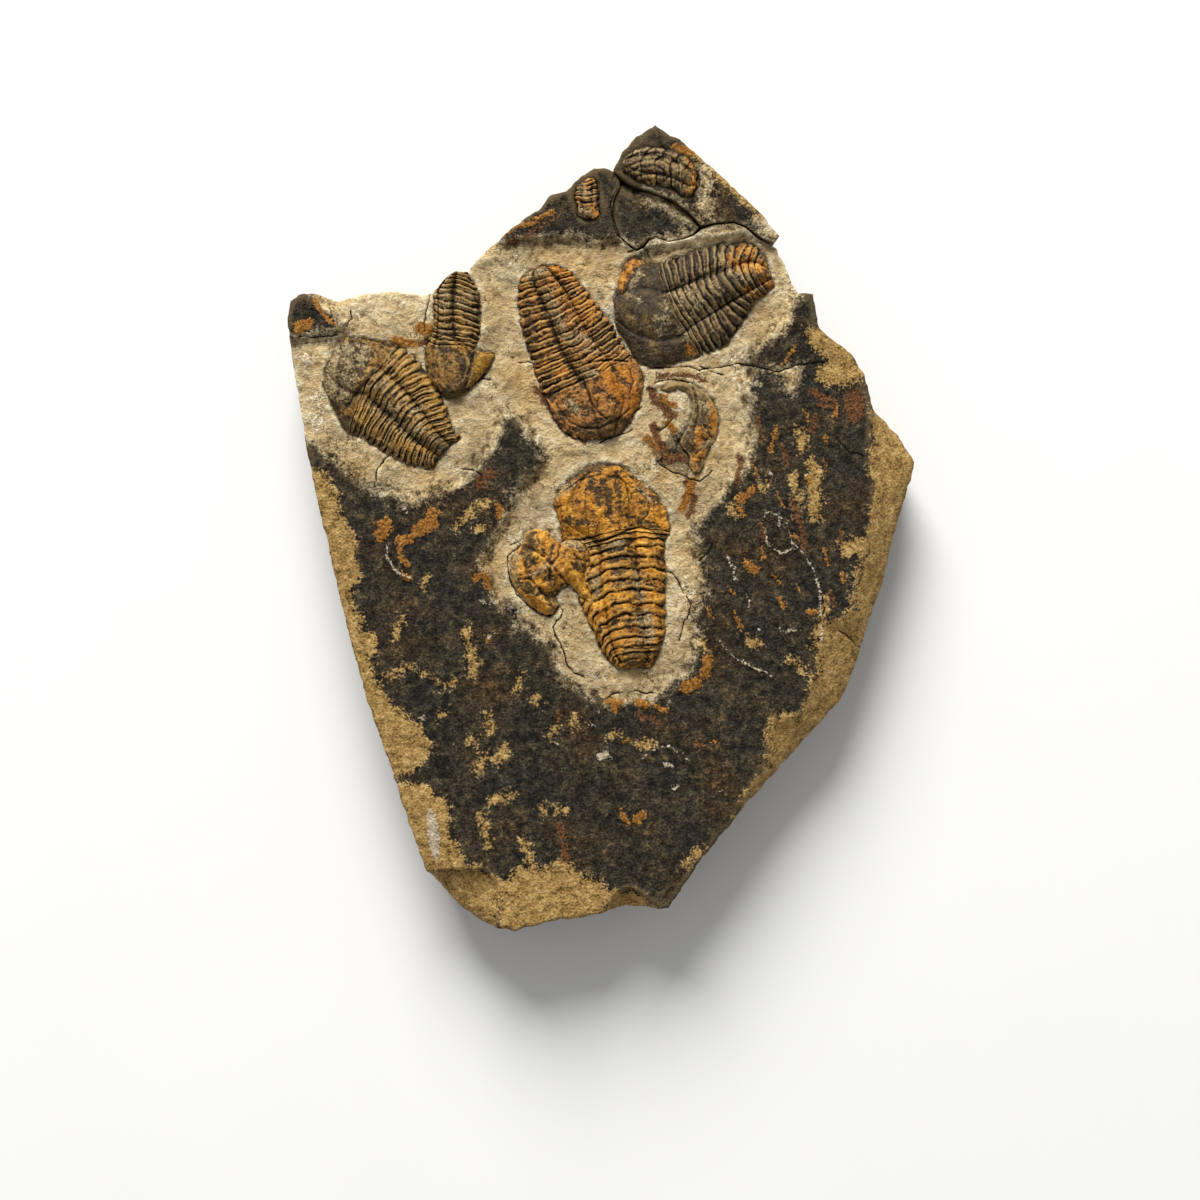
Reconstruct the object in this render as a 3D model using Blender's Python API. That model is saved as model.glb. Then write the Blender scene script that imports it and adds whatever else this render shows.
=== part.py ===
"""A plate of dark shale with trilobites on its bedding face.

The plate lies on its back, fossils up: X runs across it, Y along its long side and Z out of the
fossil face. The origin is under the middle of its outline, on the face that it rests on.
Lengths are millimetres here, and become metres where a mesh is made.
"""
import math

import bmesh
import bpy
from mathutils import Vector, noise
from mathutils.geometry import delaunay_2d_cdt

MM = 0.001

# Driving dimensions
BEDDING_Z = 16.5          # the dark bedding face above the rest face
HALO_DEPTH = 1.3          # how deep the matrix is cleared round the fossils
HALO_SLOPE = 2.2          # width of the slope from the film down into the cleared matrix
WAVE_HEIGHT = 0.45        # long waves of the bedding face
WAVE_LENGTH = 28.6
CORNER_RISE = 0.4         # the corner fragment stands a little proud
CORNER_WAVE_HEIGHT = 0.35
CORNER_WAVE_LENGTH = 11.1
WEDGE_DROP = 0.5          # the wedge fragment lies a little low
WEDGE_LEDGE = 0.9         # the pale ledge of the wedge, along the corner fragment
WEDGE_LEDGE_WIDTH = 2.5
WEDGE_WAVE_HEIGHT = 0.3
WEDGE_WAVE_LENGTH = 8.3
STRIP_DROP = 3.6          # the weathered right rim falls this far to the edge
CHIP_STEP = 0.9           # the ledge where an edge chip starts
CHIP_STEP_WIDTH = 0.8
CHIP_DROP = 2.4           # and its further fall to the edge
CRACK_DEPTH = 0.7
CRACK_HALF_WIDTH = 0.6
CRACK_LIP = 0.9           # from a crack's floor to the row of points on its lip
CRACK_SPACING = 2.2       # between the points along a crack
JOINT_GAP = 0.3           # between pieces that touch
JOINT_SHEER = 0.8         # a side this near a neighbour is sheer
JOINT_FADE = 2.5          # and grows as rough as a free side over this further distance
SEAT_Z = 12.4             # underside of the fossils in the rock
SEAT_CEILING = BEDDING_Z + 8.0
REST_INSET = 2.4          # the rest face is this much smaller than the outline
EDGE_ROUNDING = 0.35      # the bedding face drops this far at a free edge
SIDE_ROUGH_LENGTH = 4.8   # size of the hollows and knobs of the broken sides
SIDE_SPACING = 4.2        # between the corners of the broken sides
FINE_SPACING = 2.8        # between the points of the relief round the fossils
CRUMBLED_LIFT = 0.25      # a crumbled fossil's border stands this far over the rock
CRUMBLED_SHOULDER = 1.6   # distance over which it reaches its height
CRUMBLED_LUMP_LENGTH = 2.2

# Outlines and lines on the bedding face, each corner as (x, y)
SLAB_OUTLINE = [
    (-59.6, 43.5), (-58.1, 44.9), (-54.9, 45.2), (-50.3, 43.7), (-46.7, 44.9), (-40.6, 45.8),
    (-35.0, 45.0), (-32.8, 45.2), (-30.7, 47.3), (-26.9, 49.6), (-25.9, 49.2), (-22.7, 53.0),
    (-19.6, 55.3), (-16.8, 58.0), (-12.4, 60.9), (-9.9, 63.9), (-7.0, 64.5), (-4.0, 67.5),
    (-1.5, 68.9), (0.4, 68.7), (1.9, 67.9), (3.1, 66.2), (3.2, 65.2), (1.9, 62.6), (1.7, 59.7),
    (2.9, 55.7), (5.3, 53.4), (6.5, 52.7), (8.0, 53.2), (9.2, 54.7), (10.5, 55.1), (12.6, 54.4),
    (15.6, 54.9), (17.7, 55.7), (19.2, 56.9), (21.7, 57.7), (25.1, 57.9), (27.2, 57.1),
    (29.0, 55.6), (31.0, 54.5), (33.3, 53.4), (35.2, 50.8), (36.4, 47.0), (37.7, 45.2),
    (40.4, 44.9), (41.5, 38.8), (43.0, 37.0), (47.6, 33.8), (50.5, 29.2), (52.0, 23.0),
    (56.2, 19.5), (59.2, 15.0), (60.2, 12.9), (59.8, 9.8), (57.0, 1.6), (54.3, -9.8),
    (51.6, -17.4), (49.3, -25.0), (46.3, -32.7), (36.4, -43.5), (25.3, -55.9), (19.6, -62.6),
    (16.8, -66.6), (14.5, -70.2), (12.8, -72.5), (10.1, -72.9), (4.4, -72.5), (-2.3, -74.2),
    (-9.9, -75.0), (-16.6, -77.0), (-22.1, -76.1), (-27.0, -72.7), (-31.2, -68.5),
    (-33.9, -65.0), (-37.0, -56.5), (-41.0, -44.1), (-45.1, -32.7), (-49.0, -18.4),
    (-54.5, 5.4), (-56.6, 15.0), (-59.4, 32.1), (-60.2, 39.7),
]
CORNER_OUTLINE = [
    (2.3, 68.1), (2.9, 69.6), (3.6, 71.9), (6.3, 74.8), (10.1, 77.0), (14.9, 74.4), (19.8, 70.2),
    (25.3, 65.0), (31.0, 59.7), (33.9, 55.7), (32.6, 54.8), (30.9, 55.4), (29.1, 56.7),
    (27.5, 57.9), (25.2, 58.7), (21.7, 58.5), (19.0, 58.0), (16.8, 60.5), (13.3, 63.0),
    (10.1, 64.2), (7.2, 65.1), (5.5, 65.8), (3.8, 67.0),
]
WEDGE_OUTLINE = [
    (3.8, 65.5), (5.5, 65.1), (7.2, 64.4), (10.1, 63.5), (13.1, 62.3), (16.2, 60.1), (18.4, 57.6),
    (17.3, 56.5), (15.6, 55.7), (12.6, 55.1), (10.6, 55.7), (8.9, 55.4), (7.7, 54.1),
    (6.5, 53.6), (5.3, 54.4), (3.5, 56.1), (2.3, 59.9), (2.5, 62.4),
]
# The cleared matrix: pale ground round the fossils, which runs out over the top left edge
HALO_OUTLINE = [
    (-59.8, 35.5), (-57.5, 36.3), (-51.2, 36.7), (-49.0, 39.3), (-50.9, 41.6), (-54.1, 43.5),
    (-57.5, 47.3), (-32.8, 49.2), (-23.2, 55.9), (-18.5, 54.0), (-13.7, 54.6), (-8.0, 55.5),
    (-2.3, 54.4), (1.0, 55.0), (3.4, 55.3), (7.2, 52.5), (18.7, 55.0), (28.2, 55.7), (33.9, 55.7),
    (37.7, 50.8), (37.7, 45.4), (35.4, 40.1), (30.1, 35.0), (27.2, 32.1), (29.1, 29.8),
    (27.4, 27.1), (28.0, 23.5), (29.1, 18.8), (27.8, 13.6), (25.0, 10.2), (22.9, 7.0),
    (19.6, 3.1), (16.8, -0.3), (18.7, -6.0), (20.2, -9.4), (19.2, -12.9), (16.8, -17.0),
    (17.9, -20.7), (16.4, -26.6), (12.6, -30.8), (7.2, -32.5), (-1.9, -32.1), (-5.7, -29.8),
    (-8.0, -25.6), (-10.3, -21.2), (-15.2, -18.4), (-19.4, -14.2), (-21.5, -10.8), (-22.7, -6.2),
    (-21.1, -3.0), (-18.3, 1.6), (-16.2, 7.0), (-12.8, 10.2), (-10.9, 13.0), (-12.2, 15.7),
    (-14.9, 19.9), (-18.1, 22.6), (-20.0, 18.8), (-22.5, 13.2), (-26.1, 9.4), (-30.9, 7.1),
    (-36.6, 5.8), (-42.3, 7.3), (-48.0, 10.2), (-54.7, 16.9), (-62.0, 19.7),
]
# The weathered rim down the right side, from the end of the film to beyond the edge
STRIP_OUTLINE = [
    (52.0, 23.0), (50.7, 19.7), (51.4, 9.2), (51.6, 4.9), (50.3, -2.2), (48.2, -11.7),
    (47.6, -15.9), (41.9, -18.4), (41.7, -23.1), (39.4, -30.8), (37.7, -35.5), (32.0, -36.9),
    (31.2, -44.5), (25.3, -55.1), (30.0, -60.0), (62.0, -25.0), (66.0, 10.0), (60.0, 25.0),
]
LOWER_LEFT_CHIP = [(-28.5, -64.7), (-22.5, -64.9), (-19.6, -67.5), (-19.6, -71.0), (-20.6, -80.0),
                   (-36.0, -80.0), (-36.0, -66.0)]
LOWER_CHIP = [(1.1, -71.5), (2.5, -69.4), (5.9, -68.2), (8.2, -70.4), (10.1, -71.7),
              (13.0, -76.0), (0.0, -76.0)]
MAIN_CRACK = [(18.7, 30.4), (22.9, 30.9), (26.0, 31.6), (31.0, 30.4), (33.9, 29.9), (36.8, 31.2),
              (42.5, 31.9)]
CRACK_STRENGTH_ENDS = 3.0  # length over which a crack fades out at its ends

# A fossil's stations run along its body. Each has four places across it: one side, the two
# furrows that part the raised middle from the sides, and the other side.
CENTRE_STATIONS = [
    ((-2.3, 12.1), (-1.0, 12.3), (1.5, 12.2), (3.4, 11.9)),
    ((-5.5, 10.0), (-2.7, 10.4), (2.5, 10.4), (6.1, 10.0)),
    ((-8.0, 7.5), (-4.8, 7.9), (4.6, 7.9), (7.8, 7.3)),
    ((-9.3, 5.2), (-6.1, 5.4), (5.5, 5.6), (9.7, 5.4)),
    ((-8.6, 3.1), (-6.7, 3.1), (5.9, 3.1), (11.8, 3.3)),
    ((-8.0, 0.7), (-6.5, 0.7), (5.7, 1.0), (12.8, 1.2)),
    ((-7.6, -2.2), (-2.3, -1.8), (6.1, 0.1), (12.8, -0.3)),
    ((-6.5, -4.5), (-0.4, -3.9), (6.3, -2.8), (11.8, -2.4)),
    ((-5.5, -9.8), (-0.2, -9.0), (6.9, -8.1), (12.0, -7.7)),
    ((-3.6, -15.1), (0.6, -14.8), (7.4, -13.8), (12.0, -13.6)),
    ((-1.0, -20.9), (1.5, -20.5), (8.2, -19.7), (11.8, -19.3)),
    ((1.0, -24.5), (2.7, -24.3), (9.0, -23.5), (10.9, -23.1)),
    ((3.0, -26.6), (4.4, -26.8), (8.2, -26.4), (9.5, -26.0)),
]
UPPER_STATIONS = [
    ((-2.7, 16.9), (-0.4, 17.0), (2.1, 17.6), (4.6, 19.3)),
    ((-5.9, 17.8), (-1.1, 20.1), (3.6, 22.0), (6.9, 23.5)),
    ((-7.8, 19.3), (-1.7, 22.4), (4.2, 24.9), (7.8, 26.6)),
    ((-9.3, 21.4), (-2.5, 24.9), (3.4, 27.5), (7.8, 29.4)),
    ((-10.3, 24.1), (-3.6, 27.5), (2.1, 30.4), (6.5, 32.1)),
    ((-11.4, 26.6), (-5.1, 29.6), (0.8, 32.5), (4.6, 34.2)),
    ((-12.2, 29.0), (-6.5, 31.9), (-1.0, 34.8), (3.0, 36.9)),
    ((-13.1, 31.7), (-7.8, 34.2), (-2.5, 37.0), (1.7, 39.1)),
    ((-14.1, 34.6), (-9.0, 37.0), (-4.0, 39.7), (-0.2, 41.6)),
    ((-15.0, 37.8), (-10.1, 40.3), (-5.5, 42.6), (-1.9, 43.9)),
    ((-15.6, 41.2), (-11.4, 43.1), (-6.9, 45.2), (-3.6, 46.2)),
    ((-16.0, 44.5), (-12.6, 45.8), (-8.6, 47.5), (-5.3, 48.1)),
    ((-15.2, 47.5), (-13.1, 48.3), (-10.1, 49.2), (-7.2, 49.6)),
    ((-13.7, 49.4), (-12.6, 49.7), (-10.7, 50.2), (-9.0, 50.2)),
]
DARK_STATIONS = [
    ((2.9, 45.4), (2.1, 43.5), (2.3, 40.1), (3.0, 37.8)),
    ((3.6, 49.2), (4.0, 45.0), (5.0, 37.8), (5.0, 35.0)),
    ((5.3, 51.5), (6.7, 45.8), (7.8, 36.5), (7.4, 31.7)),
    ((7.6, 51.3), (8.9, 45.6), (11.4, 35.8), (11.6, 31.0)),
    ((9.7, 50.4), (11.4, 45.0), (15.2, 36.9), (17.5, 32.7)),
    ((11.8, 51.0), (13.5, 45.4), (17.5, 38.8), (19.8, 33.6)),
    ((15.6, 52.4), (17.0, 46.8), (20.8, 40.9), (23.2, 34.8)),
    ((19.8, 53.6), (20.6, 48.1), (24.0, 42.8), (26.7, 39.5)),
    ((24.4, 54.4), (24.4, 49.6), (27.4, 44.7), (29.0, 43.1)),
    ((29.1, 54.0), (28.2, 50.8), (29.9, 46.2), (30.9, 44.7)),
    ((31.6, 50.8), (31.8, 49.6), (32.6, 47.7), (33.0, 46.6)),
]
LEFT_STATIONS = [
    ((-50.3, 35.9), (-51.4, 33.2), (-52.8, 30.2), (-53.3, 27.5)),
    ((-48.2, 36.7), (-49.7, 32.7), (-51.2, 28.3), (-52.2, 24.9)),
    ((-45.7, 36.3), (-47.4, 31.7), (-49.3, 26.8), (-51.0, 22.4)),
    ((-42.7, 35.7), (-45.0, 31.0), (-47.6, 25.8), (-49.7, 20.1)),
    ((-39.6, 35.0), (-42.3, 30.6), (-45.5, 25.8), (-48.6, 18.6)),
    ((-36.2, 33.2), (-40.2, 28.7), (-43.6, 24.3), (-47.0, 18.2)),
    ((-33.5, 30.2), (-38.3, 27.0), (-41.7, 22.6), (-45.5, 17.2)),
    ((-31.4, 27.7), (-36.4, 25.0), (-39.8, 21.0), (-43.6, 16.1)),
    ((-30.7, 25.2), (-34.9, 23.0), (-38.1, 19.3), (-41.5, 14.8)),
    ((-29.7, 22.8), (-33.3, 20.9), (-36.4, 17.6), (-39.2, 13.4)),
    ((-29.0, 20.5), (-32.0, 19.1), (-34.9, 16.3), (-37.0, 12.5)),
    ((-28.2, 18.8), (-30.7, 17.6), (-33.1, 15.1), (-34.7, 11.7)),
    ((-27.2, 17.2), (-29.0, 16.1), (-30.9, 14.0), (-32.4, 11.5)),
]
UPPER_LEFT_STATIONS = [
    ((-29.5, 25.2), (-28.8, 25.2), (-27.6, 25.4), (-26.7, 25.6)),
    ((-31.6, 26.6), (-30.1, 26.8), (-26.1, 27.3), (-24.2, 27.5)),
    ((-33.1, 28.9), (-31.2, 28.9), (-25.1, 29.4), (-22.1, 30.0)),
    ((-33.7, 31.7), (-32.0, 31.7), (-24.8, 32.1), (-20.8, 33.0)),
    ((-33.7, 34.8), (-32.2, 34.8), (-26.7, 35.1), (-23.2, 34.0)),
    ((-32.8, 36.9), (-31.6, 36.7), (-28.4, 36.7), (-24.0, 37.2)),
    ((-32.0, 40.7), (-31.2, 40.7), (-28.4, 40.7), (-23.2, 41.0)),
    ((-31.6, 44.1), (-30.9, 44.1), (-28.4, 44.3), (-23.6, 43.9)),
    ((-29.4, 46.1), (-28.9, 46.3), (-28.0, 46.8), (-24.6, 46.4)),
    ((-27.9, 47.4), (-27.6, 47.6), (-27.0, 48.0), (-26.1, 47.7)),
]
CORNER_STATIONS = [
    ((5.3, 71.5), (5.2, 70.8), (5.0, 68.9), (5.0, 67.9)),
    ((8.2, 72.3), (8.0, 70.6), (7.6, 67.7), (7.4, 66.6)),
    ((11.0, 72.1), (10.7, 70.2), (10.3, 67.1), (10.1, 65.9)),
    ((13.7, 71.3), (13.5, 69.4), (13.1, 66.4), (13.0, 64.9)),
    ((15.6, 70.8), (15.4, 69.0), (15.2, 65.6), (15.2, 63.5)),
    ((17.1, 69.6), (17.1, 68.7), (17.0, 64.9), (17.0, 62.8)),
    ((18.1, 67.7), (18.1, 66.8), (18.1, 65.4), (18.1, 64.5)),
]
LOOSE_CEPHALON_OUTLINE = [
    (-13.7, -0.1), (-9.7, 0.3), (-8.0, -2.2), (-5.1, -1.6), (-3.0, -2.4), (-1.9, -5.0),
    (-2.7, -7.9), (-1.7, -11.3), (-0.8, -13.2), (-2.7, -14.0), (-5.0, -12.1), (-6.5, -10.6),
    (-8.8, -12.1), (-7.6, -14.2), (-8.0, -15.7), (-9.5, -16.9), (-11.8, -16.1), (-14.7, -13.6),
    (-17.0, -10.4), (-17.9, -7.1), (-17.3, -4.7), (-15.6, -3.3),
]
PARTIAL_CEPHALON_OUTLINE = [
    (11.8, 27.1), (14.1, 28.5), (16.8, 28.3), (19.2, 26.8), (21.1, 24.7), (22.3, 22.2),
    (22.3, 19.5), (21.9, 16.7), (20.0, 15.3), (19.4, 12.5), (18.7, 10.4), (17.0, 11.1),
    (16.4, 14.0), (14.1, 15.7), (15.6, 18.8), (16.8, 21.6), (17.0, 24.5), (15.6, 26.4),
    (13.3, 26.2),
]
TOP_EDGE_OUTLINE = [
    (-4.6, 65.0), (-3.0, 66.4), (-1.9, 66.8), (-1.0, 66.3), (-0.8, 64.5), (-0.6, 61.6),
    (-0.4, 60.3), (-1.1, 59.0), (-3.0, 58.6), (-4.4, 59.5), (-4.8, 61.4), (-5.3, 63.3),
]

# Columns across a body: 1 is a side, FURROW the furrow beside the raised middle, 0 the midline
FURROW = 0.42
COLUMNS = [-1.0, -0.86, -0.64, -FURROW, -0.2, 0.0, 0.2, FURROW, 0.64, 0.86, 1.0]
RIB_HEIGHT = 0.28
SIDE_TEETH = 0.25          # how far each rib's tip stands out of the side


def between(a, b, t):
    return (a[0] + (b[0] - a[0]) * t, a[1] + (b[1] - a[1]) * t)


def smooth_step(value):
    t = min(max(value, 0.0), 1.0)
    return t * t * (3.0 - 2.0 * t)


def distance_to_segment(point, a, b):
    along = Vector(b) - Vector(a)
    t = (Vector(point) - Vector(a)).dot(along) / along.length_squared
    return (Vector(point) - Vector(between(a, b, min(max(t, 0.0), 1.0)))).length


def distance_to_line(point, line):
    return min(distance_to_segment(point, a, b) for a, b in zip(line, line[1:]))


def depth_inside(point, outline):
    """Distance to the outline, above zero inside it and below zero outside."""
    x, y = point
    closed = outline + outline[:1]
    inside = False
    for (ax, ay), (bx, by) in zip(closed, closed[1:]):
        if (ay > y) != (by > y) and x < ax + (y - ay) / (by - ay) * (bx - ax):
            inside = not inside
    distance = distance_to_line(point, closed)
    return distance if inside else -distance


def waves(point, length, seed, octaves):
    """Uneven ground of about -1 to 1, its largest waves this long."""
    return noise.fractal(Vector((point[0] / length, point[1] / length, seed)), 1.0, 2.0, octaves)


def chip_drop(point, outline, edge_depth):
    """A broken edge: a ledge at its upper border, then a fall to the plate's edge."""
    depth = depth_inside(point, outline)
    if depth <= 0.0:
        return 0.0
    slope = depth / (depth + max(edge_depth, 0.0))
    return CHIP_STEP * smooth_step(depth / CHIP_STEP_WIDTH) + CHIP_DROP * slope


def crack_drop(point, line):
    distance = distance_to_line(point, line)
    ends = min((Vector(point) - Vector(end)).length for end in (line[0], line[-1]))
    fade = smooth_step(ends / CRACK_STRENGTH_ENDS)
    return CRACK_DEPTH * fade * max(0.0, 1.0 - distance / CRACK_HALF_WIDTH)


def bedding_height(point):
    """The fossil face of the plate, without its fossils."""
    edge_depth = depth_inside(point, SLAB_OUTLINE)
    z = BEDDING_Z + WAVE_HEIGHT * waves(point, WAVE_LENGTH, 4.2, 3)
    z -= HALO_DEPTH * smooth_step(0.5 + depth_inside(point, HALO_OUTLINE) / HALO_SLOPE)
    strip = depth_inside(point, STRIP_OUTLINE)
    if strip > 0.0:
        z -= STRIP_DROP * strip / (strip + max(edge_depth, 0.0))
    z -= chip_drop(point, LOWER_LEFT_CHIP, edge_depth)
    z -= chip_drop(point, LOWER_CHIP, edge_depth)
    return z - crack_drop(point, MAIN_CRACK)


def corner_height(point):
    wave = CORNER_WAVE_HEIGHT * waves(point, CORNER_WAVE_LENGTH, 9.0, 2)
    return BEDDING_Z + CORNER_RISE + wave


def wedge_height(point):
    wave = WEDGE_WAVE_HEIGHT * waves(point, WEDGE_WAVE_LENGTH, 1.5, 2)
    to_corner = -depth_inside(point, CORNER_OUTLINE)
    ledge = WEDGE_LEDGE * (1.0 - smooth_step(to_corner / WEDGE_LEDGE_WIDTH))
    return BEDDING_Z - WEDGE_DROP - ledge + wave


def resampled(outline, spacing):
    """The outline with more corners on its long stretches."""
    points = []
    for a, b in zip(outline, outline[1:] + outline[:1]):
        steps = max(1, round(math.dist(a, b) / spacing))
        points += [between(a, b, i / steps) for i in range(steps)]
    return points


def inward_normals(ring):
    normals = []
    for before, after in zip(ring[-1:] + ring[:-1], ring[1:] + ring[:1]):
        along = Vector(after) - Vector(before)
        normals.append(Vector((along.y, -along.x)).normalized())
    return normals


def offset_ring(ring, distances):
    """The ring moved inward by a distance for each of its points. Rings run clockwise."""
    return [(x + n.x * d, y + n.y * d)
            for (x, y), n, d in zip(ring, inward_normals(ring), distances)]


def make_object(name, points, faces, colour, roughness):
    """A closed mesh from points in millimetres, with its own material."""
    mesh = bpy.data.meshes.new(name)
    mesh.from_pydata([(x * MM, y * MM, z * MM) for x, y, z in points], [], faces)
    shape = bmesh.new()
    shape.from_mesh(mesh)
    bmesh.ops.triangulate(shape, faces=shape.faces[:])
    bmesh.ops.recalc_face_normals(shape, faces=shape.faces[:])
    shape.to_mesh(mesh)
    shape.free()
    piece = bpy.data.objects.new(name, mesh)
    bpy.context.scene.collection.objects.link(piece)
    if colour:
        material = bpy.data.materials.new(name + "_finish")
        material.use_nodes = True
        shader = material.node_tree.nodes["Principled BSDF"]
        shader.inputs["Base Color"].default_value = (*colour, 1.0)
        shader.inputs["Roughness"].default_value = roughness
        shader.inputs["Metallic"].default_value = 0.0
        mesh.materials.append(material)
    return piece


def wall_faces(upper, lower):
    """Faces between two rings of point numbers of the same length."""
    count = len(upper)
    return [(upper[i], upper[(i + 1) % count], lower[(i + 1) % count], lower[i])
            for i in range(count)]


def inner_points(rim, fine):
    """Jittered grid points inside a ring: close together where fine(point) says so."""
    xs = [p[0] for p in rim]
    ys = [p[1] for p in rim]
    points = []
    for i in range(math.ceil((max(xs) - min(xs)) / FINE_SPACING)):
        for j in range(math.ceil((max(ys) - min(ys)) / FINE_SPACING)):
            jitter = noise.noise_vector(Vector((i * 1.7, j * 1.3, 6.0))) * 0.3
            point = (min(xs) + (i + 0.5 + jitter.x) * FINE_SPACING,
                     min(ys) + (j + 0.5 + jitter.y) * FINE_SPACING)
            wanted = fine(point) or (i % 2 == 0 and j % 2 == 0)
            if wanted and depth_inside(point, rim) > 0.4 * FINE_SPACING:
                points.append(point)
    return points


def relief_solid(name, rings, top_height, inside, colour, roughness):
    """A solid with a relief face on the first ring and a flat face on the last one.

    rings holds lists of (x, y, z). inside holds the (x, y) places on the relief face.
    """
    rim = [(p[0], p[1]) for p in rings[0]]
    loop = [(i, (i + 1) % len(rim)) for i in range(len(rim))]
    flat, _, triangles, origins, _, _ = delaunay_2d_cdt(
        [Vector(p) for p in rim + inside], loop, [], 1, 1e-4)
    number_of = {source: i for i, sources in enumerate(origins) for source in sources}
    top_ring = [number_of[i] for i in range(len(rim))]
    points = [(p.x, p.y, top_height((p.x, p.y))) for p in flat]
    for i, number in enumerate(top_ring):
        points[number] = rings[0][i]
    faces = [tuple(t) for t in triangles]
    upper = top_ring
    for ring in rings[1:]:
        lower = list(range(len(points), len(points) + len(ring)))
        points += ring
        faces += wall_faces(upper, lower)
        upper = lower
    faces.append(tuple(reversed(upper)))
    return make_object(name, points, faces, colour, roughness)


def stone_piece(name, outline, top_height, neighbours, fine, extra, colour):
    """A broken piece of shale: rough sides, sheer where it meets its neighbours."""
    ring = resampled(outline, SIDE_SPACING)
    free = [min((smooth_step((-depth_inside(p, other) - JOINT_SHEER) / JOINT_FADE)
                 for other in neighbours)) for p in ring]

    def rough(seed, depth, spread):
        """Inward distances that vary from corner to corner of the broken side."""
        return [share * (depth + spread * abs(waves(p, SIDE_ROUGH_LENGTH, seed, 1)))
                for p, share in zip(ring, free)]

    rim = offset_ring(ring, rough(2.0, 0.35, 1.0))
    edge_z = [top_height(p) - EDGE_ROUNDING * share for p, share in zip(rim, free)]
    # Rings from the top rim down: share of the height, inward depth and its spread
    levels = [(0.86, 0.0, 0.5), (0.55, 0.1, 1.3), (0.22, 0.5, 1.5), (0.0, REST_INSET, 0.8)]
    rings = [[(x, y, z) for (x, y), z in zip(rim, edge_z)]]
    for number, (share, depth, spread) in enumerate(levels):
        level = offset_ring(ring, rough(5.0 + 3.0 * number, depth, spread))
        rings.append([(x, y, z * share) for (x, y), z in zip(level, edge_z)])
    inside = inner_points(rim, fine)
    inside = [p for p in inside if all(math.dist(p, q) > 1.0 for q in extra)]
    inside += [p for p in extra if depth_inside(p, rim) > 0.8]
    return relief_solid(name, rings, top_height, inside, colour, 0.85)


def crack_points(line):
    """Places along a crack and on both its lips, so that its groove shows."""
    points = []
    for a, b in zip(line, line[1:]):
        side = (Vector(b) - Vector(a)).normalized()
        steps = max(1, round(math.dist(a, b) / CRACK_SPACING))
        for i in range(steps):
            x, y = between(a, b, i / steps)
            for across in (-CRACK_LIP, 0.0, CRACK_LIP):
                points.append((x - side.y * across, y + side.x * across))
    return points


def curve_through(stations, t):
    """Station t, a number with a fraction, on a smooth curve through the stations."""
    i = min(int(t), len(stations) - 2)
    u = t - i
    near = [stations[max(i - 1, 0)], stations[i], stations[i + 1],
            stations[min(i + 2, len(stations) - 1)]]
    weights = (-0.5 * u + u * u - 0.5 * u ** 3, 1.0 - 2.5 * u * u + 1.5 * u ** 3,
               0.5 * u + 2.0 * u * u - 1.5 * u ** 3, -0.5 * u * u + 0.5 * u ** 3)
    return [tuple(sum(w * s[k][axis] for w, s in zip(weights, near)) for axis in (0, 1))
            for k in range(4)]


def body_place(stations, t, column):
    """The (x, y) at station t and this column across the body."""
    side_a, furrow_a, furrow_b, side_b = curve_through(stations, t)
    if column < -FURROW:
        return between(side_a, furrow_a, (column + 1.0) / (1.0 - FURROW))
    if column > FURROW:
        return between(furrow_b, side_b, (column - FURROW) / (1.0 - FURROW))
    return between(furrow_a, furrow_b, (column + FURROW) / (2.0 * FURROW))


def body_rows(count, head, tail, ribs):
    """Rows along a body as (station, rib): +1 on a rib, -1 in the groove behind it, 0 plain."""
    rows = [(head * i / 5.0, 0.0) for i in range(5)]
    for i in range(ribs):
        rows.append((head + (tail - head) * i / ribs, -1.0))
        rows.append((head + (tail - head) * (i + 0.5) / ribs, 1.0))
    last = count - 1.0
    return rows + [(tail, -1.0), ((tail + last) / 2.0, 0.5), (last, 0.0)]


def body_relief(t, column, rib, count, head, rise):
    """Height of the fossil over the rock round it."""
    to_side = (1.0 - abs(column)) / (1.0 - FURROW)
    across = min(abs(column) / FURROW, 1.0)
    side_lobe = 0.55 * (1.0 - (1.0 - min(to_side, 1.0)) ** 2)
    middle_lobe = 0.45 * (1.0 - across * across)
    in_head = smooth_step((head - t) / 0.6 + 0.5)
    # The head's middle is the broad, high glabella. Behind it the furrows are deeper.
    middle_lobe *= 1.0 + 0.15 * in_head
    furrow = 0.12 * (1.0 - in_head) * max(0.0, 1.0 - abs(abs(column) - FURROW) / 0.12)
    ends = math.sqrt(max(0.0, 1.0 - (1.0 - min(t / 1.6, 1.0)) ** 2))
    ends *= math.sqrt(max(0.0, 1.0 - (1.0 - min((count - 1.0 - t) / 1.4, 1.0)) ** 2))
    plateau = 0.12 + (side_lobe + middle_lobe - furrow) * ends
    ribbed = rib * RIB_HEIGHT * (0.35 + 0.65 * min(to_side * 3.0, 1.0))
    return rise * plateau + ribbed * (0.4 + 0.6 * ends)


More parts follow.
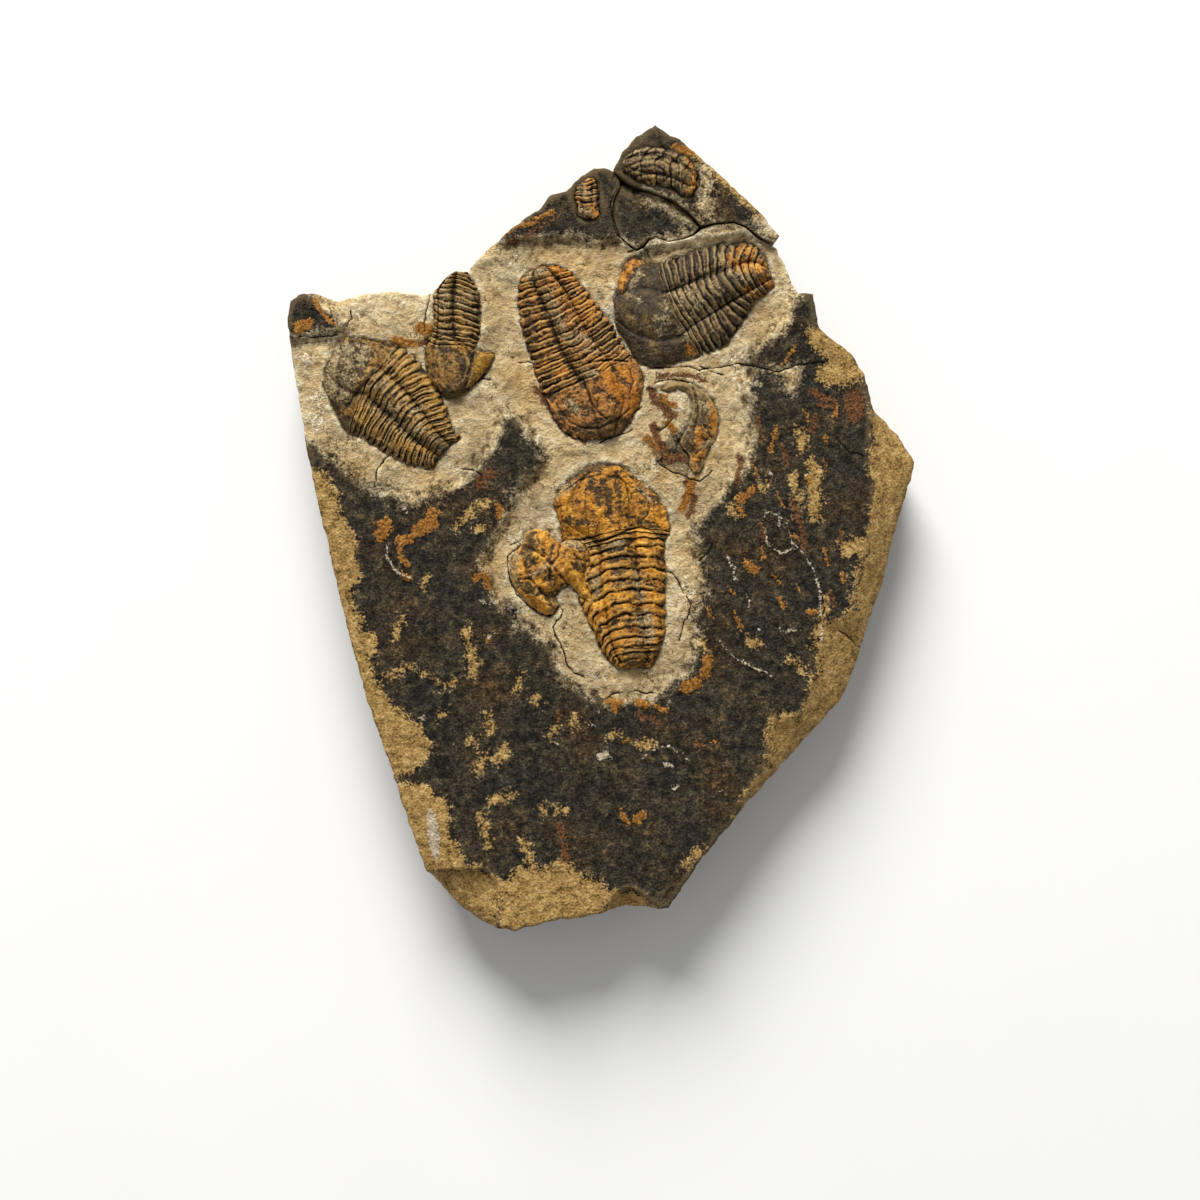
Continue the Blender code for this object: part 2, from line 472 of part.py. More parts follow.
def trilobite(name, stations, head, tail, ribs, rise, rock_height, colour):
    """A fossil trilobite on a flat base sunk in the rock."""
    count = len(stations)
    rows = body_rows(count, head, tail, ribs)
    points = []
    for t, rib in rows:
        for column in COLUMNS:
            x, y = body_place(stations, t, column)
            if abs(column) == 1.0 and rib > 0.0:
                inner = body_place(stations, t, 0.86 * column)
                out = (Vector((x, y)) - Vector(inner)).normalized() * SIDE_TEETH
                x, y = x + out.x, y + out.y
            relief = body_relief(t, column, rib, count, head, rise)
            points.append((x, y, rock_height((x, y)) + relief))
    width = len(COLUMNS)
    number = [[row * width + column for column in range(width)] for row in range(len(rows))]
    faces = [(a[i], a[i + 1], b[i + 1], b[i])
             for a, b in zip(number, number[1:]) for i in range(width - 1)]
    border = number[0][:] + [row[-1] for row in number[1:]]
    border += number[-1][-2::-1] + [row[0] for row in number[-2:0:-1]]
    base = list(range(len(points), len(points) + len(border)))
    points += [(points[i][0], points[i][1], SEAT_Z) for i in border]
    faces += wall_faces(border, base) + [tuple(base)]
    piece = make_object(name, points, faces, colour, 0.6)
    piece.data.shade_smooth()
    piece.data.set_sharp_from_angle(angle=math.radians(55.0))
    return piece


def body_outline(stations):
    """A fossil's own outline, without the teeth of its ribs, clockwise seen from above."""
    last = len(stations) - 1.0
    steps = [i * 0.5 for i in range(2 * len(stations) - 1)]
    outline = [body_place(stations, t, 1.0) for t in steps]
    outline += [body_place(stations, last, column) for column in (FURROW, -FURROW)]
    outline += [body_place(stations, t, -1.0) for t in reversed(steps)]
    outline += [body_place(stations, 0.0, column) for column in (-FURROW, FURROW)]
    area = sum(a[0] * b[1] - b[0] * a[1] for a, b in zip(outline, outline[1:] + outline[:1]))
    return outline if area < 0.0 else outline[::-1]


def plain_fossil(name, outline, rise, lump, rock_height, spacing, colour):
    """A fossil with no ribs to speak of: a low dome with a lumpy face."""
    ring = resampled(outline, spacing)
    rim = [(x, y, rock_height((x, y)) + CRUMBLED_LIFT) for x, y in ring]
    base = [(x, y, SEAT_Z) for x, y in ring]

    def height(point):
        depth = max(depth_inside(point, outline), 0.0)
        bump = lump * waves(point, CRUMBLED_LUMP_LENGTH, 2.0, 2) * min(depth, 1.0)
        dome = rise * (1.0 - math.exp(-depth / CRUMBLED_SHOULDER))
        return rock_height(point) + CRUMBLED_LIFT + dome + bump

    inside = []
    xs = [p[0] for p in ring]
    ys = [p[1] for p in ring]
    for i in range(int((max(xs) - min(xs)) / spacing) + 1):
        for j in range(int((max(ys) - min(ys)) / spacing) + 1):
            point = (min(xs) + (i + 0.25 * (j % 2)) * spacing, min(ys) + j * spacing)
            if depth_inside(point, ring) > 0.4 * spacing:
                inside.append(point)
    piece = relief_solid(name, [rim, base], height, inside, colour, 0.6)
    piece.data.shade_smooth()
    piece.data.set_sharp_from_angle(angle=math.radians(50.0))
    return piece


def cut_pocket(piece, name, outline, gap):
    """Cuts a sheer-sided seat for a fossil out of a piece, this much wider than its outline."""
    ring = offset_ring(outline, [-gap] * len(outline))
    floor = SEAT_Z - JOINT_GAP
    points = [(x, y, floor) for x, y in ring] + [(x, y, SEAT_CEILING) for x, y in ring]
    lower = list(range(len(ring)))
    upper = [i + len(ring) for i in lower]
    faces = [tuple(lower), tuple(upper)] + wall_faces(lower, upper)
    cutter = make_object(name, points, faces, None, 0.0)
    cutter.hide_render = True
    cutter.display_type = "WIRE"
    cut = piece.modifiers.new(name, "BOOLEAN")
    cut.operation = "DIFFERENCE"
    cut.solver = "EXACT"
    cut.object = cutter


def build():
    for piece in list(bpy.data.objects):
        bpy.data.objects.remove(piece)

    # The rock
    slab = stone_piece(
        "matrix_slab", SLAB_OUTLINE, bedding_height, [CORNER_OUTLINE, WEDGE_OUTLINE],
        lambda p: depth_inside(p, HALO_OUTLINE) > -2.5, crack_points(MAIN_CRACK),
        (0.065, 0.052, 0.040))
    corner = stone_piece(
        "corner_fragment", CORNER_OUTLINE, corner_height, [SLAB_OUTLINE, WEDGE_OUTLINE],
        lambda p: True, [], (0.075, 0.063, 0.050))
    stone_piece(
        "wedge_fragment", WEDGE_OUTLINE, wedge_height, [SLAB_OUTLINE, CORNER_OUTLINE],
        lambda p: True, [], (0.110, 0.090, 0.065))

    # The fossils with ribs: stations, where the head and the thorax end, ribs, rise
    centre = trilobite("trilobite_centre", CENTRE_STATIONS, 6.0, 11.0, 13, 2.7,
                       bedding_height, (0.400, 0.190, 0.045))
    trilobite("trilobite_upper", UPPER_STATIONS, 4.3, 11.0, 13, 2.6,
              bedding_height, (0.330, 0.190, 0.075))
    dark = trilobite("trilobite_dark", DARK_STATIONS, 4.4, 9.2, 11, 2.5,
                     bedding_height, (0.055, 0.045, 0.035))
    left = trilobite("trilobite_left", LEFT_STATIONS, 4.0, 11.0, 13, 2.4,
                     bedding_height, (0.210, 0.135, 0.045))
    trilobite("trilobite_upper_left", UPPER_LEFT_STATIONS, 4.4, 8.5, 9, 2.0,
              bedding_height, (0.150, 0.095, 0.040))
    trilobite("trilobite_corner", CORNER_STATIONS, 0.6, 3.6, 6, 1.3,
              corner_height, (0.070, 0.055, 0.040))

    # The fossils that are broken or crumbled
    plain_fossil("loose_cephalon", LOOSE_CEPHALON_OUTLINE, 2.3, 0.5, bedding_height, 1.9,
                 (0.420, 0.200, 0.040))
    plain_fossil("partial_cephalon", PARTIAL_CEPHALON_OUTLINE, 1.2, 0.3, bedding_height, 1.7,
                 (0.160, 0.090, 0.035))
    plain_fossil("trilobite_top_edge", TOP_EDGE_OUTLINE, 0.9, 0.3, bedding_height, 1.5,
                 (0.300, 0.200, 0.110))

    # Seats in the rock. Ribbed fossils need room for the teeth along their sides.
    toothed_gap = JOINT_GAP + SIDE_TEETH
    upper_left_outline = body_outline(UPPER_LEFT_STATIONS)
    upper_outline = body_outline(UPPER_STATIONS)
    for name, outline, gap in (
            ("centre_seat", body_outline(CENTRE_STATIONS), toothed_gap),
            ("upper_seat", upper_outline, toothed_gap),
            ("dark_seat", body_outline(DARK_STATIONS), toothed_gap),
            ("left_seat", body_outline(LEFT_STATIONS), toothed_gap),
            ("upper_left_seat", upper_left_outline, toothed_gap),
            ("loose_cephalon_seat", LOOSE_CEPHALON_OUTLINE, JOINT_GAP),
            ("partial_cephalon_seat", PARTIAL_CEPHALON_OUTLINE, JOINT_GAP),
            ("top_edge_seat", TOP_EDGE_OUTLINE, JOINT_GAP)):
        cut_pocket(slab, name, outline, gap)
    cut_pocket(corner, "corner_seat", body_outline(CORNER_STATIONS), toothed_gap)

    # Where two fossils overlap, the upper one takes its room from the lower one
    cut_pocket(centre, "loose_on_centre", LOOSE_CEPHALON_OUTLINE, JOINT_GAP)
    cut_pocket(left, "upper_left_on_left", upper_left_outline, toothed_gap)
    cut_pocket(dark, "upper_on_dark", upper_outline, toothed_gap)


build()
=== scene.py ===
"""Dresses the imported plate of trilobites: split shale, cleared rock, shells, light and camera.

Lists and functions hold millimetres, which become metres where a mesh is made. X runs across
the plate, Y along its long side, and Z comes out of the fossil face.
"""
import math
from functools import reduce

import bpy
import numpy as np
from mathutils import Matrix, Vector, noise
from mathutils.geometry import delaunay_2d_cdt


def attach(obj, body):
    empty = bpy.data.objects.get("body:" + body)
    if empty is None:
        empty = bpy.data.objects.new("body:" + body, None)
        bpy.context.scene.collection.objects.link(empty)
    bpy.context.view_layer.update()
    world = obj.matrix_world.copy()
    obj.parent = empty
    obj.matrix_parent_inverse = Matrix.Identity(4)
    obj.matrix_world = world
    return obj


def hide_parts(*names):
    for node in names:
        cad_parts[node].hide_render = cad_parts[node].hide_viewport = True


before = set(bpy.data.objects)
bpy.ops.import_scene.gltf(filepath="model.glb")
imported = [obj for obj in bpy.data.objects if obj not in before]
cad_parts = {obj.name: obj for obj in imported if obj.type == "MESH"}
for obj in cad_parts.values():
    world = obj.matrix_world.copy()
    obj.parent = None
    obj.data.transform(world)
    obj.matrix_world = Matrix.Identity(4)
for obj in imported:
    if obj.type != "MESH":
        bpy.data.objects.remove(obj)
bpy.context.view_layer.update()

bl_info = {
    "name": "Trilobite Plate",
    "version": (1, 0, 0),
    "blender": (4, 5, 0),
    "location": "3D View > Sidebar > Plate",
    "description": "Shale, shells, light and camera for a plate of fossil trilobites",
    "category": "Object",
}

MM = 0.001
REACH = 4.0               # distances to small marks are worked out up to this far

# Levels of the bedding face
BEDDING_Z = 16.5          # the dark bedding face above the rest face
CLEARED_DEPTH = 1.3       # how deep the rock is cleared round the fossils
CLEARED_SLOPE = 2.2       # width of the slope down into the cleared rock
CORNER_RISE = 0.4
WEDGE_DROP = 0.5
WEDGE_LEDGE = 0.9
STRIP_DROP = 3.6          # the weathered right rim falls this far to the edge
CHIP_STEP = 0.9           # the ledge where an edge chip starts
CHIP_DROP = 2.4           # and its further fall to the edge
REST_INSET = 2.4          # the rest face is this much smaller than the outline
FURROW = 0.42             # column of the furrow beside a body's raised middle

# Small forms on the bedding face
FLAKE_RISE = 0.15
SPECK_RISE = 0.10
SPECK_EDGE = 0.1          # white specks lose this much of their half width
RIDGE_RISE = 0.15
RIDGE_HALF = 0.12
CRACK_DEPTH = 0.35
CRACK_HALF = 0.09
CRACK_SIDE = 0.24         # rows of points run this far beside cracks and ridges
BURIED_DEPTH = 1.8        # the rock lies this far down under a fossil

# Small forms of the fossils
GROOVE_HALF = 0.14        # between the ribs
FINE_GROOVE_HALF = 0.12   # along each rib
FURROW_SPREAD = 0.05      # of the furrows beside the raised middle, in columns
LINE_HALF = 0.2           # lines of a ribbed fossil
BROKEN_LINE_HALF = 0.25   # lines of a broken one
SKIRT_DROPS = (0.7, 2.2)  # a ribbed fossil's hidden sides reach this far below its border
BROKEN_SKIRT_DROPS = (0.6, 2.2)

# Stage, in metres
FLOOR_HALF = 0.9
LAMP_PLACE = (-0.4, 2.0, 1.24)
LAMP_SIZE = 1.4
LAMP_AIM = (0.0, 0.0, 0.016)
CAMERA_OVER = (-0.00038, -0.0136)   # the photograph is centred over this place

# Outlines on the bedding face, clockwise, each corner as (x, y)
SLAB_OUTLINE = [
    (-59.6, 43.5), (-58.1, 44.9), (-54.9, 45.2), (-50.3, 43.7), (-46.7, 44.9), (-40.6, 45.8),
    (-35.0, 45.0), (-32.8, 45.2), (-30.7, 47.3), (-26.9, 49.6), (-25.9, 49.2), (-22.7, 53.0),
    (-19.6, 55.3), (-16.8, 58.0), (-12.4, 60.9), (-9.9, 63.9), (-7.0, 64.5), (-4.0, 67.5),
    (-1.5, 68.9), (0.4, 68.7), (1.9, 67.9), (3.1, 66.2), (3.2, 65.2), (1.9, 62.6), (1.7, 59.7),
    (2.9, 55.7), (5.3, 53.4), (6.5, 52.7), (8.0, 53.2), (9.2, 54.7), (10.5, 55.1), (12.6, 54.4),
    (15.6, 54.9), (17.7, 55.7), (19.2, 56.9), (21.7, 57.7), (25.1, 57.9), (27.2, 57.1),
    (29.0, 55.6), (31.0, 54.5), (33.3, 53.4), (35.2, 50.8), (36.4, 47.0), (37.7, 45.2),
    (40.4, 44.9), (41.5, 38.8), (43.0, 37.0), (47.6, 33.8), (50.5, 29.2), (52.0, 23.0),
    (56.2, 19.5), (59.2, 15.0), (60.2, 12.9), (59.8, 9.8), (57.0, 1.6), (54.3, -9.8),
    (51.6, -17.4), (49.3, -25.0), (46.3, -32.7), (36.4, -43.5), (25.3, -55.9), (19.6, -62.6),
    (16.8, -66.6), (14.5, -70.2), (12.8, -72.5), (10.1, -72.9), (4.4, -72.5), (-2.3, -74.2),
    (-9.9, -75.0), (-16.6, -77.0), (-22.1, -76.1), (-27.0, -72.7), (-31.2, -68.5),
    (-33.9, -65.0), (-37.0, -56.5), (-41.0, -44.1), (-45.1, -32.7), (-49.0, -18.4),
    (-54.5, 5.4), (-56.6, 15.0), (-59.4, 32.1), (-60.2, 39.7),
]
CORNER_OUTLINE = [
    (2.3, 68.1), (2.9, 69.6), (3.6, 71.9), (6.3, 74.8), (10.1, 77.0), (14.9, 74.4), (19.8, 70.2),
    (25.3, 65.0), (31.0, 59.7), (33.9, 55.7), (32.6, 54.8), (30.9, 55.4), (29.1, 56.7),
    (27.5, 57.9), (25.2, 58.7), (21.7, 58.5), (19.0, 58.0), (16.8, 60.5), (13.3, 63.0),
    (10.1, 64.2), (7.2, 65.1), (5.5, 65.8), (3.8, 67.0),
]
WEDGE_OUTLINE = [
    (3.8, 65.5), (5.5, 65.1), (7.2, 64.4), (10.1, 63.5), (13.1, 62.3), (16.2, 60.1), (18.4, 57.6),
    (17.3, 56.5), (15.6, 55.7), (12.6, 55.1), (10.6, 55.7), (8.9, 55.4), (7.7, 54.1),
    (6.5, 53.6), (5.3, 54.4), (3.5, 56.1), (2.3, 59.9), (2.5, 62.4),
]
CLEARED_OUTLINE = [
    (-59.8, 35.5), (-57.5, 36.3), (-51.2, 36.7), (-49.0, 39.3), (-50.9, 41.6), (-54.1, 43.5),
    (-57.5, 47.3), (-32.8, 49.2), (-23.2, 55.9), (-18.5, 54.0), (-13.7, 54.6), (-8.0, 55.5),
    (-2.3, 54.4), (1.0, 55.0), (3.4, 55.3), (7.2, 52.5), (18.7, 55.0), (28.2, 55.7), (33.9, 55.7),
    (37.7, 50.8), (37.7, 45.4), (35.4, 40.1), (30.1, 35.0), (27.2, 32.1), (29.1, 29.8),
    (27.4, 27.1), (28.0, 23.5), (29.1, 18.8), (27.8, 13.6), (25.0, 10.2), (22.9, 7.0),
    (19.6, 3.1), (16.8, -0.3), (18.7, -6.0), (20.2, -9.4), (19.2, -12.9), (16.8, -17.0),
    (17.9, -20.7), (16.4, -26.6), (12.6, -30.8), (7.2, -32.5), (-1.9, -32.1), (-5.7, -29.8),
    (-8.0, -25.6), (-10.3, -21.2), (-15.2, -18.4), (-19.4, -14.2), (-21.5, -10.8), (-22.7, -6.2),
    (-21.1, -3.0), (-18.3, 1.6), (-16.2, 7.0), (-12.8, 10.2), (-10.9, 13.0), (-12.2, 15.7),
    (-14.9, 19.9), (-18.1, 22.6), (-20.0, 18.8), (-22.5, 13.2), (-26.1, 9.4), (-30.9, 7.1),
    (-36.6, 5.8), (-42.3, 7.3), (-48.0, 10.2), (-54.7, 16.9), (-62.0, 19.7),
]
STRIP_OUTLINE = [
    (52.0, 23.0), (50.7, 19.7), (51.4, 9.2), (51.6, 4.9), (50.3, -2.2), (48.2, -11.7),
    (47.6, -15.9), (41.9, -18.4), (41.7, -23.1), (39.4, -30.8), (37.7, -35.5), (32.0, -36.9),
    (31.2, -44.5), (25.3, -55.1), (30.0, -60.0), (62.0, -25.0), (66.0, 10.0), (60.0, 25.0),
]
LOWER_LEFT_CHIP = [(-28.5, -64.7), (-22.5, -64.9), (-19.6, -67.5), (-19.6, -71.0), (-20.6, -80.0),
                   (-36.0, -80.0), (-36.0, -66.0)]
LOWER_CHIP = [(1.1, -71.5), (2.5, -69.4), (5.9, -68.2), (8.2, -70.4), (10.1, -71.7),
              (13.0, -76.0), (0.0, -76.0)]
FILM_ISLANDS = [
    [(-60.6, 45.8), (-55.8, 44.7), (-55.0, 41.6), (-53.3, 40.1), (-51.2, 38.6), (-50.5, 37.2),
     (-53.7, 36.7), (-60.6, 36.7)],
    [(21.7, 66.0), (24.0, 64.5), (26.7, 62.0), (27.6, 59.9), (25.3, 59.1), (22.9, 60.3),
     (21.5, 63.0)],
    [(17.5, 19.1), (16.0, 19.1), (14.1, 18.2), (12.6, 16.5), (10.9, 15.0), (10.5, 13.0),
     (11.6, 11.5), (13.3, 12.5), (15.2, 11.9), (16.4, 10.8), (17.0, 12.7), (17.1, 15.3)],
]
BARE_PATCHES = [
    [(19.0, 69.0), (20.2, 68.4), (20.6, 65.6), (20.4, 61.4), (19.4, 59.4), (18.4, 60.6),
     (19.0, 63.5), (19.4, 66.6)],
    [(29.0, 59.0), (31.1, 58.6), (33.2, 56.1), (32.2, 55.6), (30.4, 57.0)],
    [(8.4, 64.0), (12.6, 62.6), (16.4, 59.9), (18.2, 57.9), (17.6, 57.7), (15.6, 59.1),
     (12.6, 61.2), (8.6, 62.4)],
    [(32.8, 30.2), (37.9, 31.0), (37.5, 28.7), (36.0, 26.6), (34.9, 28.7)],
    [(10.6, 51.5), (22.0, 53.6), (31.0, 54.2), (29.0, 56.3), (22.0, 57.5), (17.0, 56.6),
     (10.0, 54.8)],
]
OLIVE_OUTLINES = [
    STRIP_OUTLINE,
    [(17.5, 72.5), (21.0, 69.8), (27.2, 64.1), (34.5, 55.9), (33.1, 55.0), (26.7, 62.0),
     (22.9, 65.8), (19.4, 69.0), (16.8, 71.1)],
    [(-61.3, 13.0), (-54.1, 11.1), (-51.8, 9.2), (-49.0, 1.6), (-46.1, -3.1), (-46.7, -9.8),
     (-48.0, -13.6), (-45.7, -18.4), (-43.4, -23.1), (-43.0, -28.9), (-40.0, -33.6),
     (-35.0, -37.4), (-32.4, -42.2), (-35.0, -45.2), (-39.4, -47.1), (-44.2, -47.1)],
    [(-41.3, -49.8), (-36.2, -48.7), (-30.9, -51.0), (-28.6, -55.5), (-27.4, -61.2),
     (-27.2, -65.4), (-34.7, -67.0)],
    [(39.0, 37.8), (43.4, 38.8), (51.0, 35.9), (51.4, 29.8), (47.2, 27.5), (41.5, 27.5),
     (40.8, 30.6), (42.3, 31.7), (40.0, 35.0)],
    [(-19.4, -67.0), (-13.7, -64.7), (-8.0, -63.5), (-0.4, -67.0), (1.9, -70.8), (-0.4, -75.5),
     (-19.4, -78.4)],
    [(44.6, -2.8), (50.7, -2.4), (51.0, -4.7), (46.3, -5.4)],
    LOWER_LEFT_CHIP,
    LOWER_CHIP,
]

# Marks on the stone, each a half width and a line of places
ORANGE_FLAKES = [
    (1.33, [(-41.3, 0.9), (-42.1, -1.2)]),
    (1.33, [(-32.2, 2.6), (-32.8, 0.9), (-35.0, -0.3)]),
    (0.86, [(-35.0, -0.3), (-36.6, -2.2), (-38.5, -2.2)]),
    (0.50, [(-38.5, -3.1), (-38.5, -5.2), (-37.1, -6.8)]),
    (0.50, [(-38.1, -8.9), (-36.6, -9.4)]),
    (0.61, [(-19.8, 4.5), (-19.6, 2.4)]),
    (0.61, [(-24.0, -9.4), (-22.3, -8.9), (-21.7, -11.0)]),
    (0.57, [(1.0, -33.0), (3.4, -33.0)]),
    (0.95, [(2.7, -34.2)]),
    (0.76, [(6.9, -33.2), (8.4, -33.8)]),
    (0.57, [(10.3, -33.8), (12.2, -34.8)]),
    (0.95, [(20.2, -25.0), (19.6, -27.7)]),
    (1.24, [(17.9, -29.4), (16.0, -30.2)]),
    (0.38, [(3.6, -53.6), (4.8, -56.3)]),
    (0.86, [(6.7, -55.5), (7.8, -54.8)]),
    (0.42, [(21.3, -40.5), (21.7, -40.9)]),
    (0.38, [(4.0, -40.7), (5.0, -40.5)]),
    (0.34, [(36.6, 34.6), (35.8, 32.9), (34.9, 31.7)]),
    (0.38, [(33.1, 19.1), (32.8, 16.9), (32.2, 14.8)]),
    (0.69, [(26.3, 5.6), (28.6, 7.3)]),
    (0.38, [(25.9, 3.9), (26.9, 2.8)]),
    (0.88, [(27.8, -6.8), (29.0, -7.9)]),
    (0.50, [(33.9, -13.6), (34.5, -14.8)]),
    (0.30, [(25.0, -15.9), (26.7, -19.3)]),
    (0.27, [(20.2, -14.8), (20.8, -16.9)]),
    (0.38, [(42.3, -3.7), (43.2, -7.0)]),
    (0.46, [(39.0, 9.8), (39.6, 8.7)]),
    (0.38, [(42.5, 17.2), (42.7, 16.5)]),
    (0.46, [(44.8, 23.3), (44.2, 21.2)]),
    (0.42, [(39.4, -15.7), (40.6, -15.9)]),
    (0.34, [(-21.9, -21.0), (-21.5, -21.4)]),
    (0.80, [(14.0, 72.6), (17.2, 71.4)]),
    (1.10, [(-57.9, 38.2), (-56.2, 38.9)]),
    (0.50, [(-54.8, 43.6), (-53.3, 41.0), (-51.2, 38.8)]),
    (0.90, [(-39.4, 36.0), (-36.0, 35.2)]),
    (1.20, [(-34.6, 38.4), (-33.0, 38.0)]),
    (0.70, [(8.5, 17.3), (10.5, 15.3)]),
    (0.60, [(12.5, 20.2), (14.0, 18.8)]),
    (0.60, [(11.9, 24.8), (13.6, 23.6)]),
    (0.80, [(17.3, 9.3), (16.4, 6.5), (15.2, 3.8)]),
    (0.30, [(-19.6, 55.6), (-17.0, 57.0), (-13.0, 58.4), (-9.5, 60.4)]),
    (0.22, [(28.8, 12.6), (30.0, 9.8)]),
    (0.20, [(33.4, 6.8), (34.6, 4.2)]),
    (0.24, [(35.8, -0.8), (37.2, -2.4)]),
    (0.20, [(30.2, -3.6), (30.9, -5.8)]),
    (0.22, [(32.6, -9.0), (34.0, -10.6)]),
    (0.18, [(37.2, -11.2), (38.2, -13.0)]),
    (0.20, [(24.0, -11.4), (25.2, -12.6)]),
    (0.22, [(45.6, -8.2), (46.2, -10.4)]),
    (0.20, [(38.6, 22.8), (39.2, 20.6)]),
    (0.22, [(42.4, 13.0), (42.8, 10.6)]),
    (0.18, [(28.8, -26.4), (30.4, -27.6)]),
]
RUST_PATCHES = [
    (0.61, [(39.8, 26.2), (41.5, 25.2), (44.2, 24.5)]),
    (0.50, [(44.2, 24.5), (43.8, 23.3), (41.1, 23.7)]),
    (1.8, [(48.0, 24.7), (48.0, 22.0)]),
    (0.50, [(40.6, 21.0), (40.0, 18.4)]),
    (0.76, [(-34.7, 35.3), (-33.3, 35.9)]),
    (1.14, [(-21.3, 10.4), (-23.2, 8.9)]),
    (0.38, [(45.3, -0.7), (45.5, -2.0)]),
    (0.57, [(17.9, -41.4), (19.0, -41.2)]),
    (0.50, [(11.0, 29.2), (14.0, 29.5), (17.0, 29.2), (20.0, 28.2)]),
    (1.10, [(11.5, 24.5), (13.0, 21.5)]),
    (0.90, [(9.3, 26.4), (10.5, 23.8)]),
    (0.80, [(9.8, 19.6), (10.9, 16.6), (12.5, 13.6), (15.4, 13.4)]),
    (0.70, [(16.2, 8.8), (17.6, 5.2), (16.4, 2.4)]),
    (0.60, [(26.5, 13.5), (25.7, 9.0)]),
    (0.38, [(-8.2, -34.8), (-8.4, -36.5)]),
    (0.48, [(6.5, -35.1), (11.0, -36.9)]),
    (0.57, [(-8.0, -56.5), (-6.9, -63.1)]),
    (0.3, [(-18.5, 54.2), (-15.2, 55.2), (-11.4, 57.4), (-8.4, 59.8)]),
    (0.7, [(-12.4, 26.6), (-10.6, 24.0), (-8.9, 21.4), (-6.6, 18.4), (-3.6, 17.0)]),
    (0.5, [(36.2, 4.8), (38.0, 0.4), (38.6, -4.0)]),
    (0.4, [(30.2, 1.0), (31.0, -2.2)]),
    (0.5, [(34.4, 15.6), (35.4, 12.2)]),
    (0.4, [(43.6, -12.0), (44.4, -15.0)]),
    (0.4, [(29.6, 21.0), (30.4, 17.0)]),
]
WHITE_SPECKS = [
    (0.61, [(-0.4, -43.5), (0.6, -43.1)]),
    (0.30, [(1.7, -43.7), (0.8, -42.0)]),
    (0.30, [(-23.4, -13.8), (-22.3, -14.2)]),
    (0.27, [(-21.5, -14.4), (-20.2, -14.0), (-19.4, -14.6)]),
    (0.50, [(-34.5, -35.9), (-34.1, -36.5)]),
    (0.27, [(12.0, -45.0), (13.3, -45.0)]),
    (0.30, [(13.1, -49.2), (14.5, -49.2)]),
    (0.23, [(-0.8, -34.6), (-0.4, -35.3)]),
    (0.27, [(21.9, -50.0), (22.9, -49.8)]),
    (0.25, [(23.8, -5.0), (24.6, -6.4), (25.5, -9.8)]),
    (0.19, [(27.6, -12.9), (28.4, -15.3)]),
    (0.22, [(33.7, -19.0), (35.4, -19.7), (37.5, -19.0)]),
    (0.26, [(29.3, -19.1), (30.3, -19.5)]),
    (0.23, [(47.6, -10.8), (47.8, -12.1)]),
    (0.34, [(38.9, 10.4), (39.6, 11.1)]),
    (0.19, [(33.5, 2.6), (34.1, 0.1)]),
    (0.27, [(31.6, 10.8), (32.6, 10.0)]),
    (0.25, [(26.5, 7.9), (27.2, 8.7)]),
    (0.23, [(-21.3, -20.5), (-20.4, -20.1)]),
    (0.29, [(-37.7, 3.7), (-37.5, 3.1)]),
    (0.23, [(-45.7, -8.1), (-45.3, -8.9)]),
    (0.21, [(-28.6, -41.0), (-28.0, -41.8)]),
    (0.23, [(-2.3, -37.2), (-1.5, -37.6)]),
    (0.21, [(-8.8, -40.7), (-8.2, -41.2)]),
    (0.5, [(-2.0, 41.8), (2.7, 42.0)]),
]
WHITE_LENS = [(-33.3, -54.0), (-32.6, -52.9), (-31.8, -54.2), (-31.2, -56.5), (-30.9, -59.3),
              (-31.0, -61.8), (-31.8, -63.5), (-32.6, -61.6), (-33.1, -58.4)]
